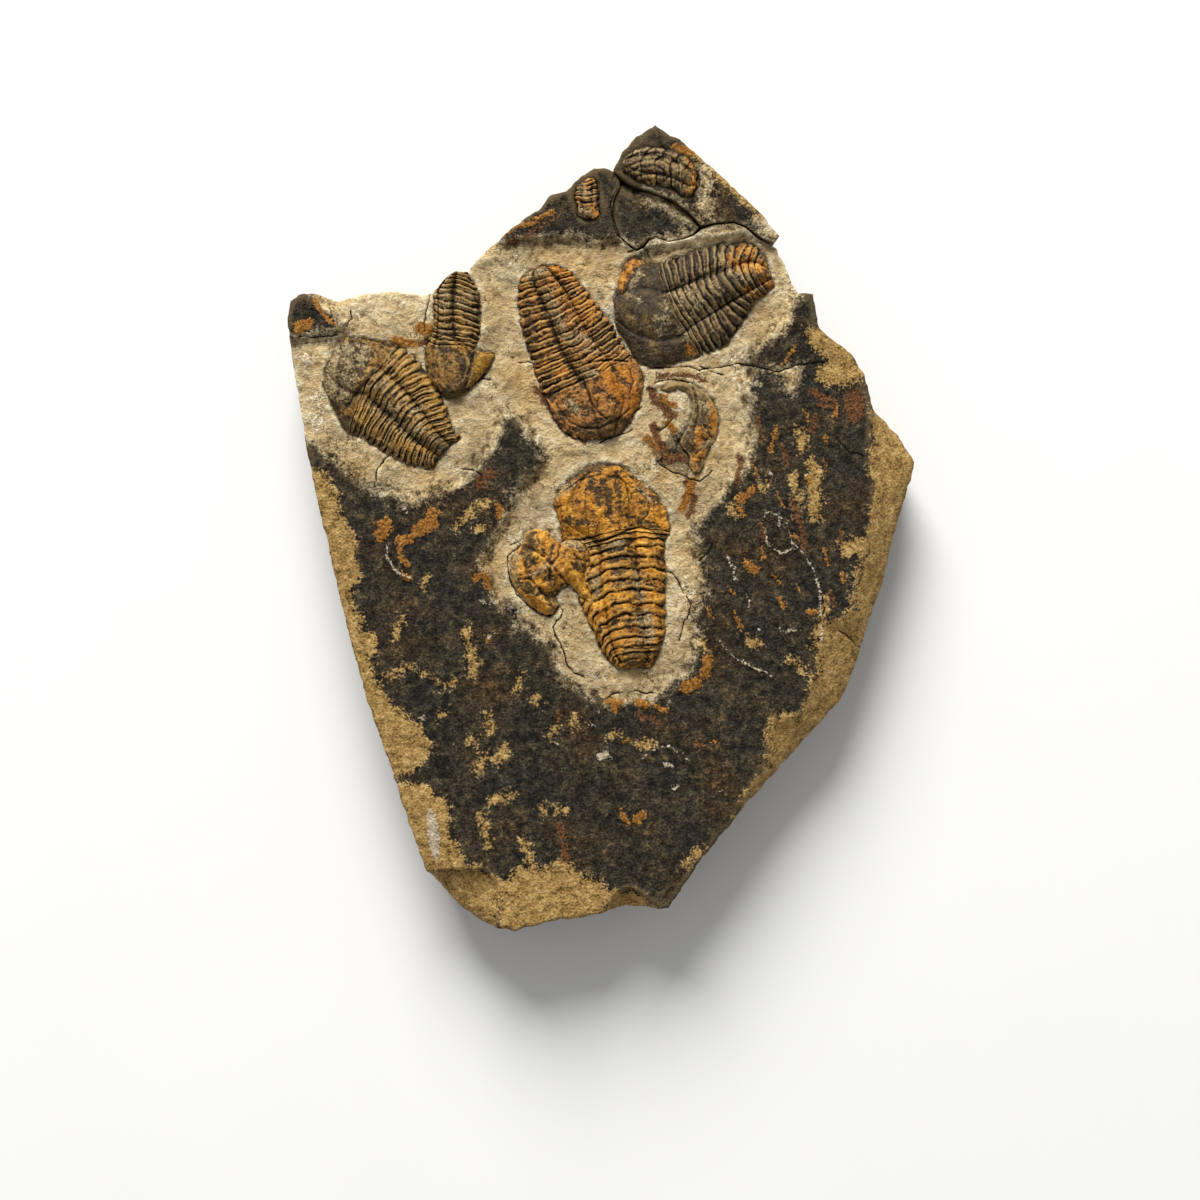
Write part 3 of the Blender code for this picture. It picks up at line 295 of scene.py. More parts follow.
OLIVE_STREAKS = [
    (0.50, [(-27.4, 0.3), (-25.3, 3.3), (-21.9, 5.2)]),
    (0.76, [(-25.9, -19.7), (-24.8, -22.8), (-24.4, -27.3)]),
    (0.42, [(-24.0, -0.1), (-22.3, -0.1)]),
    (0.38, [(-34.1, -10.8), (-33.1, -9.4)]),
    (0.65, [(-23.2, -45.8), (-22.3, -43.1)]),
    (0.61, [(-21.0, -51.7), (-17.0, -51.0)]),
    (0.57, [(-23.2, -54.6), (-22.1, -58.4), (-21.7, -60.5)]),
    (0.57, [(-14.9, -59.7), (-13.7, -63.9)]),
    (0.57, [(-8.2, -53.4), (-7.4, -53.8)]),
    (0.50, [(-4.8, -35.7), (-5.0, -37.4)]),
    (0.46, [(-29.7, -34.8), (-30.7, -35.7)]),
    (0.46, [(-21.7, -35.7), (-21.1, -38.2)]),
    (0.42, [(-12.6, -32.1), (-12.2, -33.8)]),
    (0.57, [(-18.3, -41.8), (-19.8, -44.1)]),
    (0.50, [(-25.1, -40.7), (-24.4, -39.9)]),
    (0.46, [(-10.1, -39.3), (-9.0, -38.0)]),
    (0.50, [(-11.6, -52.9), (-11.2, -54.0)]),
    (0.46, [(1.9, -39.7), (3.0, -39.0)]),
    (1.1, [(40.0, 12.1), (40.4, 8.3), (40.6, 2.6)]),
    (0.8, [(37.7, 18.8), (38.3, 15.0)]),
    (0.5, [(36.4, 9.8), (37.0, 5.6), (36.6, 2.4)]),
    (0.5, [(42.9, -13.0), (41.6, -18.4), (40.0, -22.8)]),
    (0.3, [(-41.6, -28.6), (-36.2, -26.0)]),
    (0.3, [(-39.6, -20.9), (-37.7, -16.8)]),
    (0.25, [(-33.9, -27.6), (-30.4, -30.1), (-28.0, -29.0)]),
    (0.48, [(30.1, 7.9), (31.6, 9.2)]),
    (0.57, [(25.7, 5.4), (25.0, 3.1)]),
    (0.76, [(28.2, -21.2), (29.5, -22.2)]),
    (0.50, [(35.8, -25.0), (37.7, -26.6)]),
    (0.57, [(16.0, -64.3), (18.7, -61.2)]),
    (0.46, [(26.7, -51.5), (28.6, -49.0)]),
    (0.57, [(7.2, -41.4), (9.1, -40.9)]),
    (0.42, [(-15.4, -27.5), (-16.2, -30.8)]),
    (0.46, [(18.7, -21.2), (19.8, -22.8)]),
    (0.57, [(-18.3, -6.0), (-19.8, -8.3)]),
]
BROWN_FILM = [
    (11.4, [(-15.6, -44.1), (-8.0, -57.4)]),
    (7.6, [(-23.2, -32.7), (-8.0, -36.5)]),
    (4.6, [(7.2, -37.4), (13.0, -39.3)]),
    (6.5, [(35.8, 20.7), (37.7, 5.4), (36.0, -6.0)]),
    (2.5, [(33.0, 24.5), (35.5, 15.0)]),
    (4.2, [(45.3, -11.7), (44.4, -6.0)]),
    (5.0, [(-25.1, 1.6), (-15.6, 15.0)]),
]
BLUE_FILM = [
    (9.5, [(14.9, -49.8), (11.0, -61.2)]),
    (6.0, [(19.0, -38.0), (26.0, -34.0), (30.0, -30.0)]),
    (4.5, [(47.2, 16.0), (47.6, 0.5)]),
    (7.6, [(-27.0, -17.4), (-30.9, -23.1)]),
    (5.0, [(26.3, -21.2), (33.9, -23.1)]),
    (5.7, [(-23.2, -6.0), (-25.1, -11.7)]),
    (5.7, [(30.1, -9.8), (22.5, -11.7)]),
    (3.8, [(-56.6, 42.6), (-55.2, 40.7)]),
]
WARM_GROUND = [
    (7.0, [(-52.0, 43.0), (-36.0, 42.0)]),
    (6.0, [(-18.0, 38.0), (-22.0, 14.0)]),
    (5.0, [(-13.0, 3.0), (4.0, -30.0)]),
    (3.0, [(50.5, 0.0), (44.0, -22.0), (40.0, -34.0)]),
]
GREY_GROUND = [
    (7.0, [(-20.0, 54.0), (0.0, 53.0), (10.0, 53.5), (30.0, 56.0)]),
    (5.0, [(-24.0, 50.0), (-18.0, 49.0)]),
    (3.0, [(18.0, 62.0), (20.0, 68.0)]),
    (2.0, [(13.0, 17.0), (14.0, 13.0)]),
    (4.0, [(24.5, 26.0), (25.0, 14.0)]),
    (5.0, [(-57.0, 30.0), (-56.0, 18.0)]),
    (5.0, [(57.0, 12.0), (54.0, 18.0)]),
]
CRACKS = [
    [(18.7, 30.4), (22.9, 30.9), (26.0, 31.6), (31.0, 30.4), (33.9, 29.9), (36.8, 31.2),
     (42.5, 31.9)],
    [(7.2, 31.7), (11.0, 30.8), (16.8, 31.0), (18.7, 30.2)],
    [(18.7, 31.0), (21.5, 29.8), (23.2, 29.6)],
    [(-57.5, 36.7), (-54.1, 36.5), (-50.7, 36.9)],
    [(-48.0, 41.6), (-47.8, 40.1), (-48.6, 38.8)],
    [(-8.8, -17.4), (-9.3, -19.0), (-8.4, -21.2), (-7.4, -23.1), (-6.7, -26.0), (-5.5, -27.3),
     (-3.8, -28.3)],
    [(12.0, -7.9), (13.5, -8.5), (14.9, -10.4), (15.6, -12.1)],
    [(16.2, -13.0), (17.0, -14.4), (16.6, -16.3), (15.6, -17.8), (15.2, -20.1), (14.7, -21.2)],
    [(0.4, -32.5), (1.9, -31.7), (3.6, -31.3)],
    [(6.7, -31.0), (8.2, -31.5), (9.5, -31.1)],
    [(45.3, -19.5), (47.6, -21.2), (49.9, -23.1)],
    [(-43.2, 9.2), (-42.9, 11.5), (-41.0, 14.0)],
    [(-27.0, 11.5), (-25.1, 11.3), (-22.9, 10.4)],
    [(44.6, 17.2), (47.2, 14.6), (49.5, 14.0)],
    [(-15.6, -3.5), (-17.1, -4.3), (-17.9, -5.2), (-18.1, -7.1), (-17.7, -9.4), (-17.0, -11.3),
     (-15.6, -13.2), (-13.7, -15.0), (-11.8, -16.3), (-10.1, -16.9), (-8.8, -15.7),
     (-8.2, -14.8), (-7.6, -15.7), (-7.8, -16.9), (-8.8, -17.6), (-9.3, -18.8), (-9.0, -20.5)],
    [(-0.4, 16.3), (0.8, 17.2), (2.7, 17.8), (4.6, 18.4), (5.7, 19.0)],
    [(7.6, 23.3), (6.5, 22.6), (5.7, 21.6)],
    [(4.4, 20.5), (5.5, 19.9)],
    [(10.3, 19.0), (11.2, 18.8), (12.2, 19.5), (13.3, 20.7)],
    [(-22.9, 28.9), (-21.3, 28.3)],
    [(-27.0, 26.0), (-25.1, 27.1), (-23.4, 28.5), (-22.5, 29.8)],
    [(-13.0, 31.7), (-14.1, 31.9), (-15.6, 31.9)],
    [(10.1, 27.7), (11.4, 28.3), (14.1, 28.5), (16.8, 28.1)],
    [(10.5, 13.0), (11.6, 11.7), (13.3, 11.1)],
    [(5.0, 52.7), (7.2, 53.2), (8.8, 55.0), (10.1, 55.5), (12.0, 55.3)],
    [(18.7, -6.0), (20.2, -4.5), (21.0, -3.1)],
    [(-32.8, 45.8), (-33.0, 43.5), (-33.7, 41.2), (-33.9, 37.8)],
    [(1.9, 63.3), (1.7, 59.9), (2.7, 56.3), (4.6, 54.2)],
    [(13.0, 11.1), (18.7, 9.0), (21.0, 11.1)],
    [(-17.5, -3.1), (-15.6, -2.2)],
]
RIDGES = [
    [(31.0, 3.1), (33.5, 2.6), (35.2, 0.9), (36.2, -2.6), (38.7, -5.0), (40.4, -8.1),
     (41.5, -12.3), (41.7, -17.4), (41.9, -21.2)],
    [(21.7, -20.5), (23.8, -23.0), (25.9, -25.0), (29.0, -26.4), (32.4, -28.1)],
    [(-41.0, -3.1), (-41.0, -5.6), (-39.6, -7.7), (-37.9, -9.0), (-36.4, -9.6)],
    [(7.8, -43.9), (9.1, -42.2), (12.2, -41.4), (15.2, -42.6), (16.4, -44.1)],
    [(31.0, 3.1), (30.7, 0.7), (31.6, -3.1), (33.9, -4.7), (36.8, -3.7)],
]

# A ribbed fossil's stations run along its body, each with four places across it: one side,
# the furrows on both sides of the raised middle, and the other side. head and tail are the
# stations where the head ends and the tail starts, and ribs is how many lie between them.
# rise is the height of the whole form. bow is how far the ribs bend back towards each side,
# in ribs. fine is the depth of the groove along each rib, as a share of those between the
# ribs. teeth is how far the ribs' ends stand out. shell is how much of the shell is left,
# from -1 to 1, and dark, bright and pale are marks where it is gone, fresh or crusted.
# lines are cut into the shell, each with its depth.
RIBBED = {
    "trilobite_centre": dict(
        stations=[
            ((-2.3, 12.1), (-1.0, 12.3), (1.5, 12.2), (3.4, 11.9)),
            ((-5.5, 10.0), (-2.7, 10.4), (2.5, 10.4), (6.4, 9.9)),
            ((-8.0, 7.5), (-4.8, 7.9), (4.6, 7.9), (8.4, 8.1)),
            ((-9.3, 5.2), (-6.1, 5.4), (5.5, 5.6), (10.5, 6.1)),
            ((-8.6, 3.1), (-6.7, 3.1), (5.9, 3.1), (12.0, 3.7)),
            ((-8.0, 0.7), (-6.5, 0.7), (5.7, 1.0), (12.8, 1.2)),
            ((-7.6, -2.2), (-2.3, -1.8), (6.1, 0.1), (12.8, -0.3)),
            ((-6.5, -4.5), (-0.4, -3.9), (6.3, -2.8), (11.8, -2.4)),
            ((-5.5, -9.8), (-0.2, -9.0), (6.9, -8.1), (12.0, -7.7)),
            ((-3.6, -15.1), (0.6, -14.8), (7.4, -13.8), (12.0, -13.6)),
            ((-1.0, -20.9), (1.5, -20.5), (8.2, -19.7), (11.8, -19.3)),
            ((1.0, -24.5), (2.7, -24.3), (9.0, -23.5), (10.9, -23.1)),
            ((3.0, -26.6), (4.4, -26.8), (8.2, -26.4), (9.5, -26.0)),
        ],
        head=6.0, tail=11.0, ribs=13, rise=2.7, bow=(1.4, 0.3), fine=0.25, shell=0.25,
        teeth=0.4, finish="orange_fossil",
        dark=[
            (0.45, [(0.2, 8.9), (1.1, 7.3), (1.9, 5.4)]),
            (0.4, [(-0.8, 7.0), (-0.4, 3.9)]),
            (0.35, [(-2.3, 9.6), (-1.9, 7.0)]),
            (0.3, [(2.6, 8.4), (3.2, 6.2)]),
            (0.3, [(1.5, 3.4), (0.6, 1.2)]),
            (0.6, [(-6.1, 1.4), (-3.0, 0.9)]),
            (0.7, [(7.6, 0.9), (10.1, 0.5), (11.2, -1.4)]),
            (0.35, [(-0.4, -2.4), (2.5, -1.6), (5.3, -0.3)]),
            (0.5, [(0.8, -3.9), (3.4, -3.3), (5.7, -2.4)]),
            (0.5, [(1.9, -6.0), (5.7, -5.2)]),
            (0.6, [(3.0, -8.1), (5.9, -7.1)]),
            (0.6, [(3.4, -11.3), (5.9, -10.6)]),
            (0.4, [(5.3, -13.6), (6.9, -13.0)]),
            (0.5, [(5.7, -16.1), (7.2, -15.9)]),
            (0.4, [(4.4, -17.8), (7.2, -17.4)]),
            (0.4, [(2.1, -12.9), (2.3, -15.9), (2.5, -18.6)]),
            (0.9, [(-2.7, -2.4), (-0.8, -3.5)]),
            (1.2, [(-3.6, -8.3), (-2.3, -11.3), (-1.1, -13.2)]),
            (0.9, [(5.0, -23.5), (8.2, -23.7), (10.5, -23.1)]),
            (0.6, [(5.0, -25.2), (7.2, -25.6)]),
            (0.6, [(-6.9, 8.9), (-5.1, 10.4), (-2.3, 11.5), (0.8, 12.1)]),
        ],
        bright=[
            (0.8, [(6.5, -0.1), (8.4, -0.9)]),
            (1.0, [(6.7, -3.3), (9.3, -4.5)]),
            (0.8, [(8.2, -7.1), (10.1, -7.9)]),
            (0.7, [(9.1, -11.7), (10.1, -13.6)]),
            (0.7, [(0.2, -8.7), (1.3, -9.8)]),
            (0.8, [(1.1, -12.1), (5.3, -12.7)]),
            (0.5, [(3.0, -14.8), (5.7, -14.4)]),
            (1.0, [(-2.3, -14.8), (0.8, -14.0)]),
            (1.0, [(-2.3, -16.7), (1.1, -15.9)]),
            (1.0, [(10.1, 3.0), (12.0, 0.7)]),
            (0.8, [(-7.0, 6.4), (-6.9, 3.3)]),
            (0.7, [(-2.3, 6.4), (-1.9, 4.5)]),
            (0.6, [(4.6, 8.9), (5.0, 6.6)]),
            (0.7, [(-0.4, 2.6), (0.2, 1.2)]),
            (0.8, [(-5.3, -0.3), (-2.3, -0.5)]),
            (0.4, [(0.6, -0.9), (3.8, -0.5)]),
            (0.6, [(10.1, -17.4), (10.3, -21.2)]),
        ],
        pale=[
            (0.5, [(6.5, -9.0), (7.2, -11.7), (7.4, -13.6)]),
            (1.3, [(8.2, -17.0), (9.0, -20.1)]),
            (0.3, [(7.2, -21.0), (8.8, -21.4)]),
            (0.4, [(7.2, 7.7), (9.5, 5.4)]),
            (0.3, [(-9.0, 6.0), (-6.9, 7.5), (-5.0, 8.7)]),
            (0.4, [(-0.8, -8.7), (-1.0, -12.1)]),
            (0.25, [(0.8, -3.3), (3.8, -2.8)]),
        ],
        lines=[
            (0.25, [(5.7, 5.8), (5.7, 6.6), (6.7, 7.0), (8.2, 6.0), (9.1, 4.5), (8.8, 2.6),
                    (7.2, 1.0)]),
            (0.4, [(-6.1, -2.2), (-3.6, -2.0), (-1.9, -1.6), (-0.4, -2.4), (2.5, -1.6),
                   (5.0, -0.3), (7.2, 0.3), (8.8, -0.1), (10.3, -1.0)]),
            (0.2, [(-2.7, 9.2), (-3.2, 5.4), (-3.0, 1.6), (-2.3, -1.4)]),
            (0.2, [(4.6, 8.5), (5.1, 5.4), (5.0, 0.9)]),
            (0.25, [(-6.9, 7.3), (-4.2, 9.2), (-0.4, 10.2), (3.4, 9.6), (5.7, 7.7)]),
        ]),
    "trilobite_upper": dict(
        stations=[
            ((-2.7, 16.9), (-0.4, 17.0), (2.1, 17.6), (4.6, 19.3)),
            ((-5.9, 17.8), (-1.1, 20.1), (3.6, 22.0), (6.9, 23.5)),
            ((-7.8, 19.3), (-1.7, 22.4), (4.2, 24.9), (7.8, 26.6)),
            ((-9.3, 21.4), (-2.5, 24.9), (3.4, 27.5), (7.8, 29.4)),
            ((-10.3, 24.1), (-3.6, 27.5), (2.1, 30.4), (6.5, 32.1)),
            ((-11.4, 26.6), (-5.1, 29.6), (0.8, 32.5), (4.6, 34.2)),
            ((-12.2, 29.0), (-6.5, 31.9), (-1.0, 34.8), (3.0, 36.9)),
            ((-13.1, 31.7), (-7.8, 34.2), (-2.5, 37.0), (1.7, 39.1)),
            ((-14.1, 34.6), (-9.0, 37.0), (-4.0, 39.7), (-0.2, 41.6)),
            ((-15.0, 37.8), (-10.1, 40.3), (-5.5, 42.6), (-1.9, 43.9)),
            ((-15.6, 41.2), (-11.4, 43.1), (-6.9, 45.2), (-3.6, 46.2)),
            ((-16.0, 44.5), (-12.6, 45.8), (-8.6, 47.5), (-5.3, 48.1)),
            ((-15.2, 47.5), (-13.1, 48.3), (-10.1, 49.2), (-7.2, 49.6)),
            ((-13.7, 49.4), (-12.6, 49.7), (-10.7, 50.2), (-9.0, 50.2)),
        ],
        head=4.3, tail=11.0, ribs=13, rise=2.6, bow=(0.4, 0.5), fine=0.5, shell=0.2,
        teeth=0.5, finish="brown_fossil",
        dark=[
            (0.45, [(-11.8, 43.5), (-10.3, 40.1), (-8.8, 35.9), (-7.4, 32.9), (-5.3, 29.4)]),
            (0.8, [(-9.3, 38.8), (-8.8, 36.7)]),
            (0.8, [(-7.0, 33.6), (-6.3, 32.5)]),
            (0.9, [(-5.5, 29.6), (-4.8, 28.7)]),
            (1.7, [(0.0, 37.0), (2.1, 35.3)]),
            (1.0, [(-0.6, 38.6), (1.1, 38.0)]),
            (0.5, [(-14.3, 41.2), (-13.7, 35.0)]),
            (1.0, [(-13.3, 33.8), (-12.4, 32.5)]),
            (0.9, [(-10.7, 27.7), (-8.8, 28.3)]),
            (0.6, [(-8.6, 26.6), (-9.5, 25.0)]),
            (1.7, [(-2.7, 18.8), (0.4, 19.0), (3.4, 19.7)]),
            (0.5, [(-4.4, 29.0), (-3.6, 27.1)]),
            (0.6, [(-7.2, 46.4), (-5.5, 45.0)]),
            (0.6, [(-12.8, 49.2), (-13.3, 47.0)]),
        ],
        bright=[
            (0.9, [(-9.0, 49.6), (-6.1, 47.9)]),
            (0.7, [(-4.8, 43.5), (-1.9, 42.6)]),
            (0.8, [(-3.8, 40.7), (-1.9, 40.1)]),
            (1.0, [(0.4, 30.2), (1.9, 27.3), (4.2, 24.9), (5.3, 23.3)]),
            (0.6, [(5.7, 26.2), (6.3, 24.5)]),
            (0.8, [(3.8, 30.6), (5.5, 28.7)]),
            (0.5, [(-10.7, 31.7), (-8.4, 31.7)]),
            (0.6, [(-7.4, 29.8), (-8.8, 29.2)]),
        ],
        pale=[
            (0.7, [(-10.9, 44.9), (-9.5, 42.6), (-8.6, 40.1), (-7.4, 37.4), (-5.3, 35.5)]),
            (0.8, [(-3.4, 30.0), (-1.7, 29.4)]),
            (0.4, [(-3.6, 34.0), (-0.8, 33.6)]),
            (0.6, [(-13.7, 48.3), (-10.9, 49.0)]),
            (0.5, [(-4.2, 36.7), (-2.3, 35.5)]),
            (0.5, [(-6.1, 24.1), (-4.6, 22.2)]),
        ],
        lines=[
            (0.3, [(-3.6, 28.7), (-2.7, 26.0), (-1.9, 23.7), (-0.4, 21.8), (1.0, 20.7)]),
            (0.3, [(-8.6, 23.9), (-7.6, 22.0), (-6.1, 20.3), (-3.6, 19.1), (-0.4, 19.1),
                   (2.5, 20.5), (5.3, 22.8)]),
            (0.45, [(-2.5, 31.5), (-0.4, 31.9), (1.9, 32.1), (4.8, 31.9)]),
            (0.3, [(5.3, 30.2), (5.9, 27.9), (5.3, 25.6)]),
            (0.35, [(-10.3, 25.0), (-8.0, 26.6), (-5.1, 27.5), (-3.4, 28.9)]),
        ]),
    "trilobite_dark": dict(
        stations=[
            ((2.9, 45.4), (2.1, 43.5), (2.3, 40.1), (3.0, 37.8)),
            ((3.6, 49.2), (4.0, 45.0), (5.0, 37.8), (5.0, 35.0)),
            ((5.3, 51.5), (6.7, 45.8), (7.8, 36.5), (7.4, 31.7)),
            ((7.6, 51.3), (8.9, 45.6), (11.4, 35.8), (11.6, 31.0)),
            ((9.7, 50.4), (11.4, 45.0), (15.2, 36.9), (17.5, 32.7)),
            ((11.8, 51.0), (13.5, 45.4), (17.5, 38.8), (19.8, 33.6)),
            ((15.6, 52.4), (17.0, 46.8), (20.8, 40.9), (23.2, 34.8)),
            ((19.8, 53.6), (20.6, 48.1), (24.0, 42.8), (26.7, 39.5)),
            ((24.4, 54.4), (24.4, 49.6), (27.4, 44.7), (29.0, 43.1)),
            ((29.1, 54.0), (28.2, 50.8), (29.9, 46.2), (30.9, 44.7)),
            ((31.6, 50.8), (31.8, 49.6), (32.6, 47.7), (33.0, 46.6)),
        ],
        head=4.4, tail=9.2, ribs=13, rise=2.5, bow=(0.4, 0.5), fine=0.3, shell=0.3,
        teeth=0.4, finish="dark_fossil",
        dark=[
            (1.0, [(12.0, 43.0), (16.0, 41.0)]),
            (0.8, [(8.0, 40.0), (10.5, 33.5)]),
            (0.8, [(17.5, 36.5), (24.0, 40.5)]),
            (0.8, [(4.0, 42.0), (6.0, 38.5)]),
        ],
        bright=[
            (0.9, [(3.4, 46.4), (5.0, 49.6), (7.2, 51.9)]),
            (1.4, [(24.0, 50.8), (27.0, 49.6)]),
            (1.3, [(28.2, 51.5), (30.1, 49.6)]),
            (1.1, [(30.9, 47.3), (32.2, 45.6)]),
            (0.9, [(25.9, 53.0), (28.6, 53.2)]),
            (0.5, [(16.2, 35.0), (16.8, 33.6)]),
            (0.6, [(27.8, 45.4), (29.3, 44.3)]),
        ],
        pale=[
            (0.25, [(13.3, 45.2), (14.9, 43.9), (16.0, 41.6), (16.8, 39.7)]),
            (0.25, [(15.2, 46.2), (16.8, 44.3), (17.9, 42.4), (19.0, 40.9)]),
            (0.25, [(16.8, 46.2), (17.5, 44.3), (19.0, 42.8), (20.8, 41.2)]),
            (0.25, [(19.8, 48.9), (20.6, 47.0), (21.7, 45.0)]),
            (0.6, [(15.2, 37.6), (16.2, 36.3)]),
            (0.4, [(16.8, 38.6), (18.7, 40.1), (21.1, 41.4)]),
            (0.3, [(10.1, 40.1), (12.6, 39.3)]),
            (0.3, [(10.1, 37.6), (11.6, 37.4)]),
            (0.3, [(11.8, 43.0), (12.6, 41.8)]),
            (0.5, [(5.9, 46.6), (7.2, 48.7)]),
            (0.2, [(5.0, 44.3), (7.2, 43.5)]),
            (0.5, [(22.6, 51.6), (24.6, 48.6)]),
            (0.3, [(26.4, 48.0), (28.4, 46.8)]),
        ],
        lines=[
            (0.2, [(10.1, 44.3), (13.3, 45.4), (16.8, 47.0), (19.8, 48.3), (22.9, 49.6)]),
            (0.2, [(14.5, 36.5), (17.1, 38.6), (21.0, 41.0), (25.3, 43.7), (28.2, 45.4)]),
            (0.15, [(9.1, 43.5), (8.8, 40.1), (10.1, 36.7), (13.3, 37.4)]),
            (0.15, [(8.2, 51.5), (6.1, 48.3), (3.8, 44.3)]),
        ]),
    "trilobite_left": dict(
        stations=[
            ((-50.3, 35.9), (-51.4, 33.2), (-52.8, 30.2), (-53.3, 27.5)),
            ((-48.2, 36.7), (-49.7, 32.7), (-51.2, 28.3), (-52.2, 24.9)),
            ((-45.7, 36.3), (-47.4, 31.7), (-49.3, 26.8), (-51.0, 22.4)),
            ((-42.7, 35.7), (-45.0, 31.0), (-47.6, 25.8), (-49.7, 20.1)),
            ((-39.6, 35.0), (-42.3, 30.6), (-45.5, 25.8), (-48.6, 18.6)),
            ((-36.2, 33.2), (-40.2, 28.7), (-43.6, 24.3), (-47.0, 18.2)),
            ((-33.5, 30.2), (-38.3, 27.0), (-41.7, 22.6), (-45.5, 17.2)),
            ((-31.4, 27.7), (-36.4, 25.0), (-39.8, 21.0), (-43.6, 16.1)),
            ((-30.7, 25.2), (-34.9, 23.0), (-38.1, 19.3), (-41.5, 14.8)),
            ((-29.7, 22.8), (-33.3, 20.9), (-36.4, 17.6), (-39.2, 13.4)),
            ((-29.0, 20.5), (-32.0, 19.1), (-34.9, 16.3), (-37.0, 12.5)),
            ((-28.2, 18.8), (-30.7, 17.6), (-33.1, 15.1), (-34.7, 11.7)),
            ((-27.2, 17.2), (-29.0, 16.1), (-30.9, 14.0), (-32.4, 11.5)),
        ],
        head=4.0, tail=11.0, ribs=13, rise=2.4, bow=(0.4, 0.5), fine=0.8, shell=0.3,
        teeth=0.4, finish="khaki_fossil",
        dark=[
            (0.6, [(-44.2, 24.1), (-41.9, 23.0), (-40.2, 21.4), (-38.3, 19.5), (-36.6, 18.0),
                   (-35.6, 16.9)]),
            (0.7, [(-39.6, 21.4), (-38.1, 19.1)]),
            (1.3, [(-32.8, 16.3), (-29.7, 16.5)]),
            (1.6, [(-49.1, 19.9), (-47.4, 18.6)]),
            (0.4, [(-43.4, 29.8), (-45.0, 27.5), (-47.0, 25.4)]),
            (0.9, [(-47.6, 35.9), (-46.3, 34.2)]),
            (1.6, [(-50.0, 35.0), (-51.8, 31.6), (-52.4, 27.0), (-50.6, 23.0)]),
            (2.0, [(-48.0, 33.0), (-48.6, 29.6), (-49.4, 25.0)]),
            (1.5, [(-45.4, 33.4), (-46.6, 29.8)]),
            (0.6, [(-35.8, 34.8), (-35.0, 32.7)]),
            (0.6, [(-46.5, 18.4), (-43.8, 16.3), (-41.1, 15.0), (-38.1, 13.2)]),
            (0.6, [(-35.2, 16.9), (-33.5, 15.5)]),
            (0.7, [(-49.9, 24.1), (-50.7, 23.0)]),
            (0.5, [(-36.4, 24.9), (-35.4, 23.0)]),
        ],
        bright=[
            (1.2, [(-37.3, 29.4), (-34.7, 27.5), (-32.8, 28.3)]),
            (1.2, [(-34.7, 26.0), (-32.4, 24.5), (-31.2, 22.2)]),
            (0.9, [(-38.9, 32.9), (-36.2, 31.0)]),
            (1.0, [(-46.5, 22.6), (-44.6, 20.7)]),
            (0.9, [(-38.9, 16.9), (-37.0, 15.3)]),
            (0.6, [(-34.1, 15.1), (-33.0, 14.4)]),
            (0.6, [(-30.9, 19.7), (-30.1, 18.4)]),
        ],
        pale=[
            (1.1, [(-50.5, 34.0), (-51.6, 29.8), (-51.2, 26.0)]),
            (0.8, [(-48.4, 34.6), (-48.0, 31.0)]),
            (0.9, [(-48.8, 28.6), (-49.5, 25.4)]),
            (0.7, [(-45.5, 34.4), (-46.0, 31.4)]),
            (0.5, [(-47.2, 28.8), (-47.9, 27.2)]),
            (0.5, [(-43.0, 26.8), (-41.3, 27.9)]),
            (0.3, [(-40.6, 23.9), (-41.1, 22.8)]),
            (0.4, [(-39.0, 22.6), (-39.6, 21.8)]),
            (0.5, [(-37.7, 19.3), (-36.6, 18.8)]),
            (0.5, [(-35.4, 18.4), (-34.7, 19.3)]),
            (0.5, [(-36.2, 22.0), (-34.7, 22.6)]),
        ],
        lines=[
            (0.3, [(-43.4, 30.0), (-44.4, 28.1), (-46.5, 26.0), (-47.6, 24.7), (-48.2, 23.5)]),
            (0.3, [(-41.9, 35.3), (-40.4, 34.8), (-38.5, 34.6), (-36.6, 35.0)]),
            (0.1, [(-49.9, 36.3), (-50.7, 33.6), (-52.6, 31.3), (-54.1, 29.4)]),
            (0.1, [(-47.6, 36.9), (-46.1, 35.5), (-45.7, 33.6), (-46.5, 31.7)]),
        ]),
    "trilobite_upper_left": dict(
        stations=[
            ((-29.7, 25.0), (-28.8, 25.0), (-27.6, 25.2), (-26.5, 25.8)),
            ((-31.8, 26.8), (-30.3, 26.2), (-26.3, 26.8), (-24.0, 28.1)),
            ((-33.1, 29.0), (-31.4, 28.5), (-25.1, 29.0), (-21.9, 30.4)),
            ((-33.7, 31.7), (-32.0, 31.3), (-24.6, 31.9), (-20.6, 33.4)),
            ((-33.7, 34.4), (-32.2, 34.0), (-25.9, 34.2), (-22.9, 33.8)),
            ((-32.8, 36.3), (-31.6, 35.9), (-27.8, 35.7), (-24.2, 35.1)),
            ((-32.2, 38.2), (-31.4, 37.8), (-28.2, 37.6), (-23.6, 36.5)),
            ((-32.0, 40.5), (-31.2, 40.3), (-28.4, 40.1), (-23.4, 38.6)),
            ((-32.0, 43.0), (-31.2, 42.8), (-28.4, 42.6), (-23.4, 41.0)),
            ((-31.8, 45.2), (-31.2, 45.2), (-28.4, 45.0), (-23.4, 43.3)),
            ((-30.7, 46.8), (-30.3, 47.0), (-28.2, 47.1), (-23.8, 45.6)),
            ((-29.5, 47.9), (-29.1, 48.3), (-27.8, 48.6), (-24.8, 47.5)),
            ((-28.4, 48.9), (-28.0, 49.0), (-27.2, 49.2), (-26.1, 48.9)),
        ],
        head=4.6, tail=11.0, ribs=12, rise=2.0, bow=(0.1, 0.2), fine=0.35, shell=0.2,
        teeth=0.5, finish="khaki_fossil",
        dark=[
            (0.4, [(-28.4, 47.3), (-28.2, 43.5), (-28.4, 40.1)]),
            (0.7, [(-31.6, 37.6), (-28.0, 37.2)]),
            (0.5, [(-31.2, 39.1), (-28.0, 39.3)]),
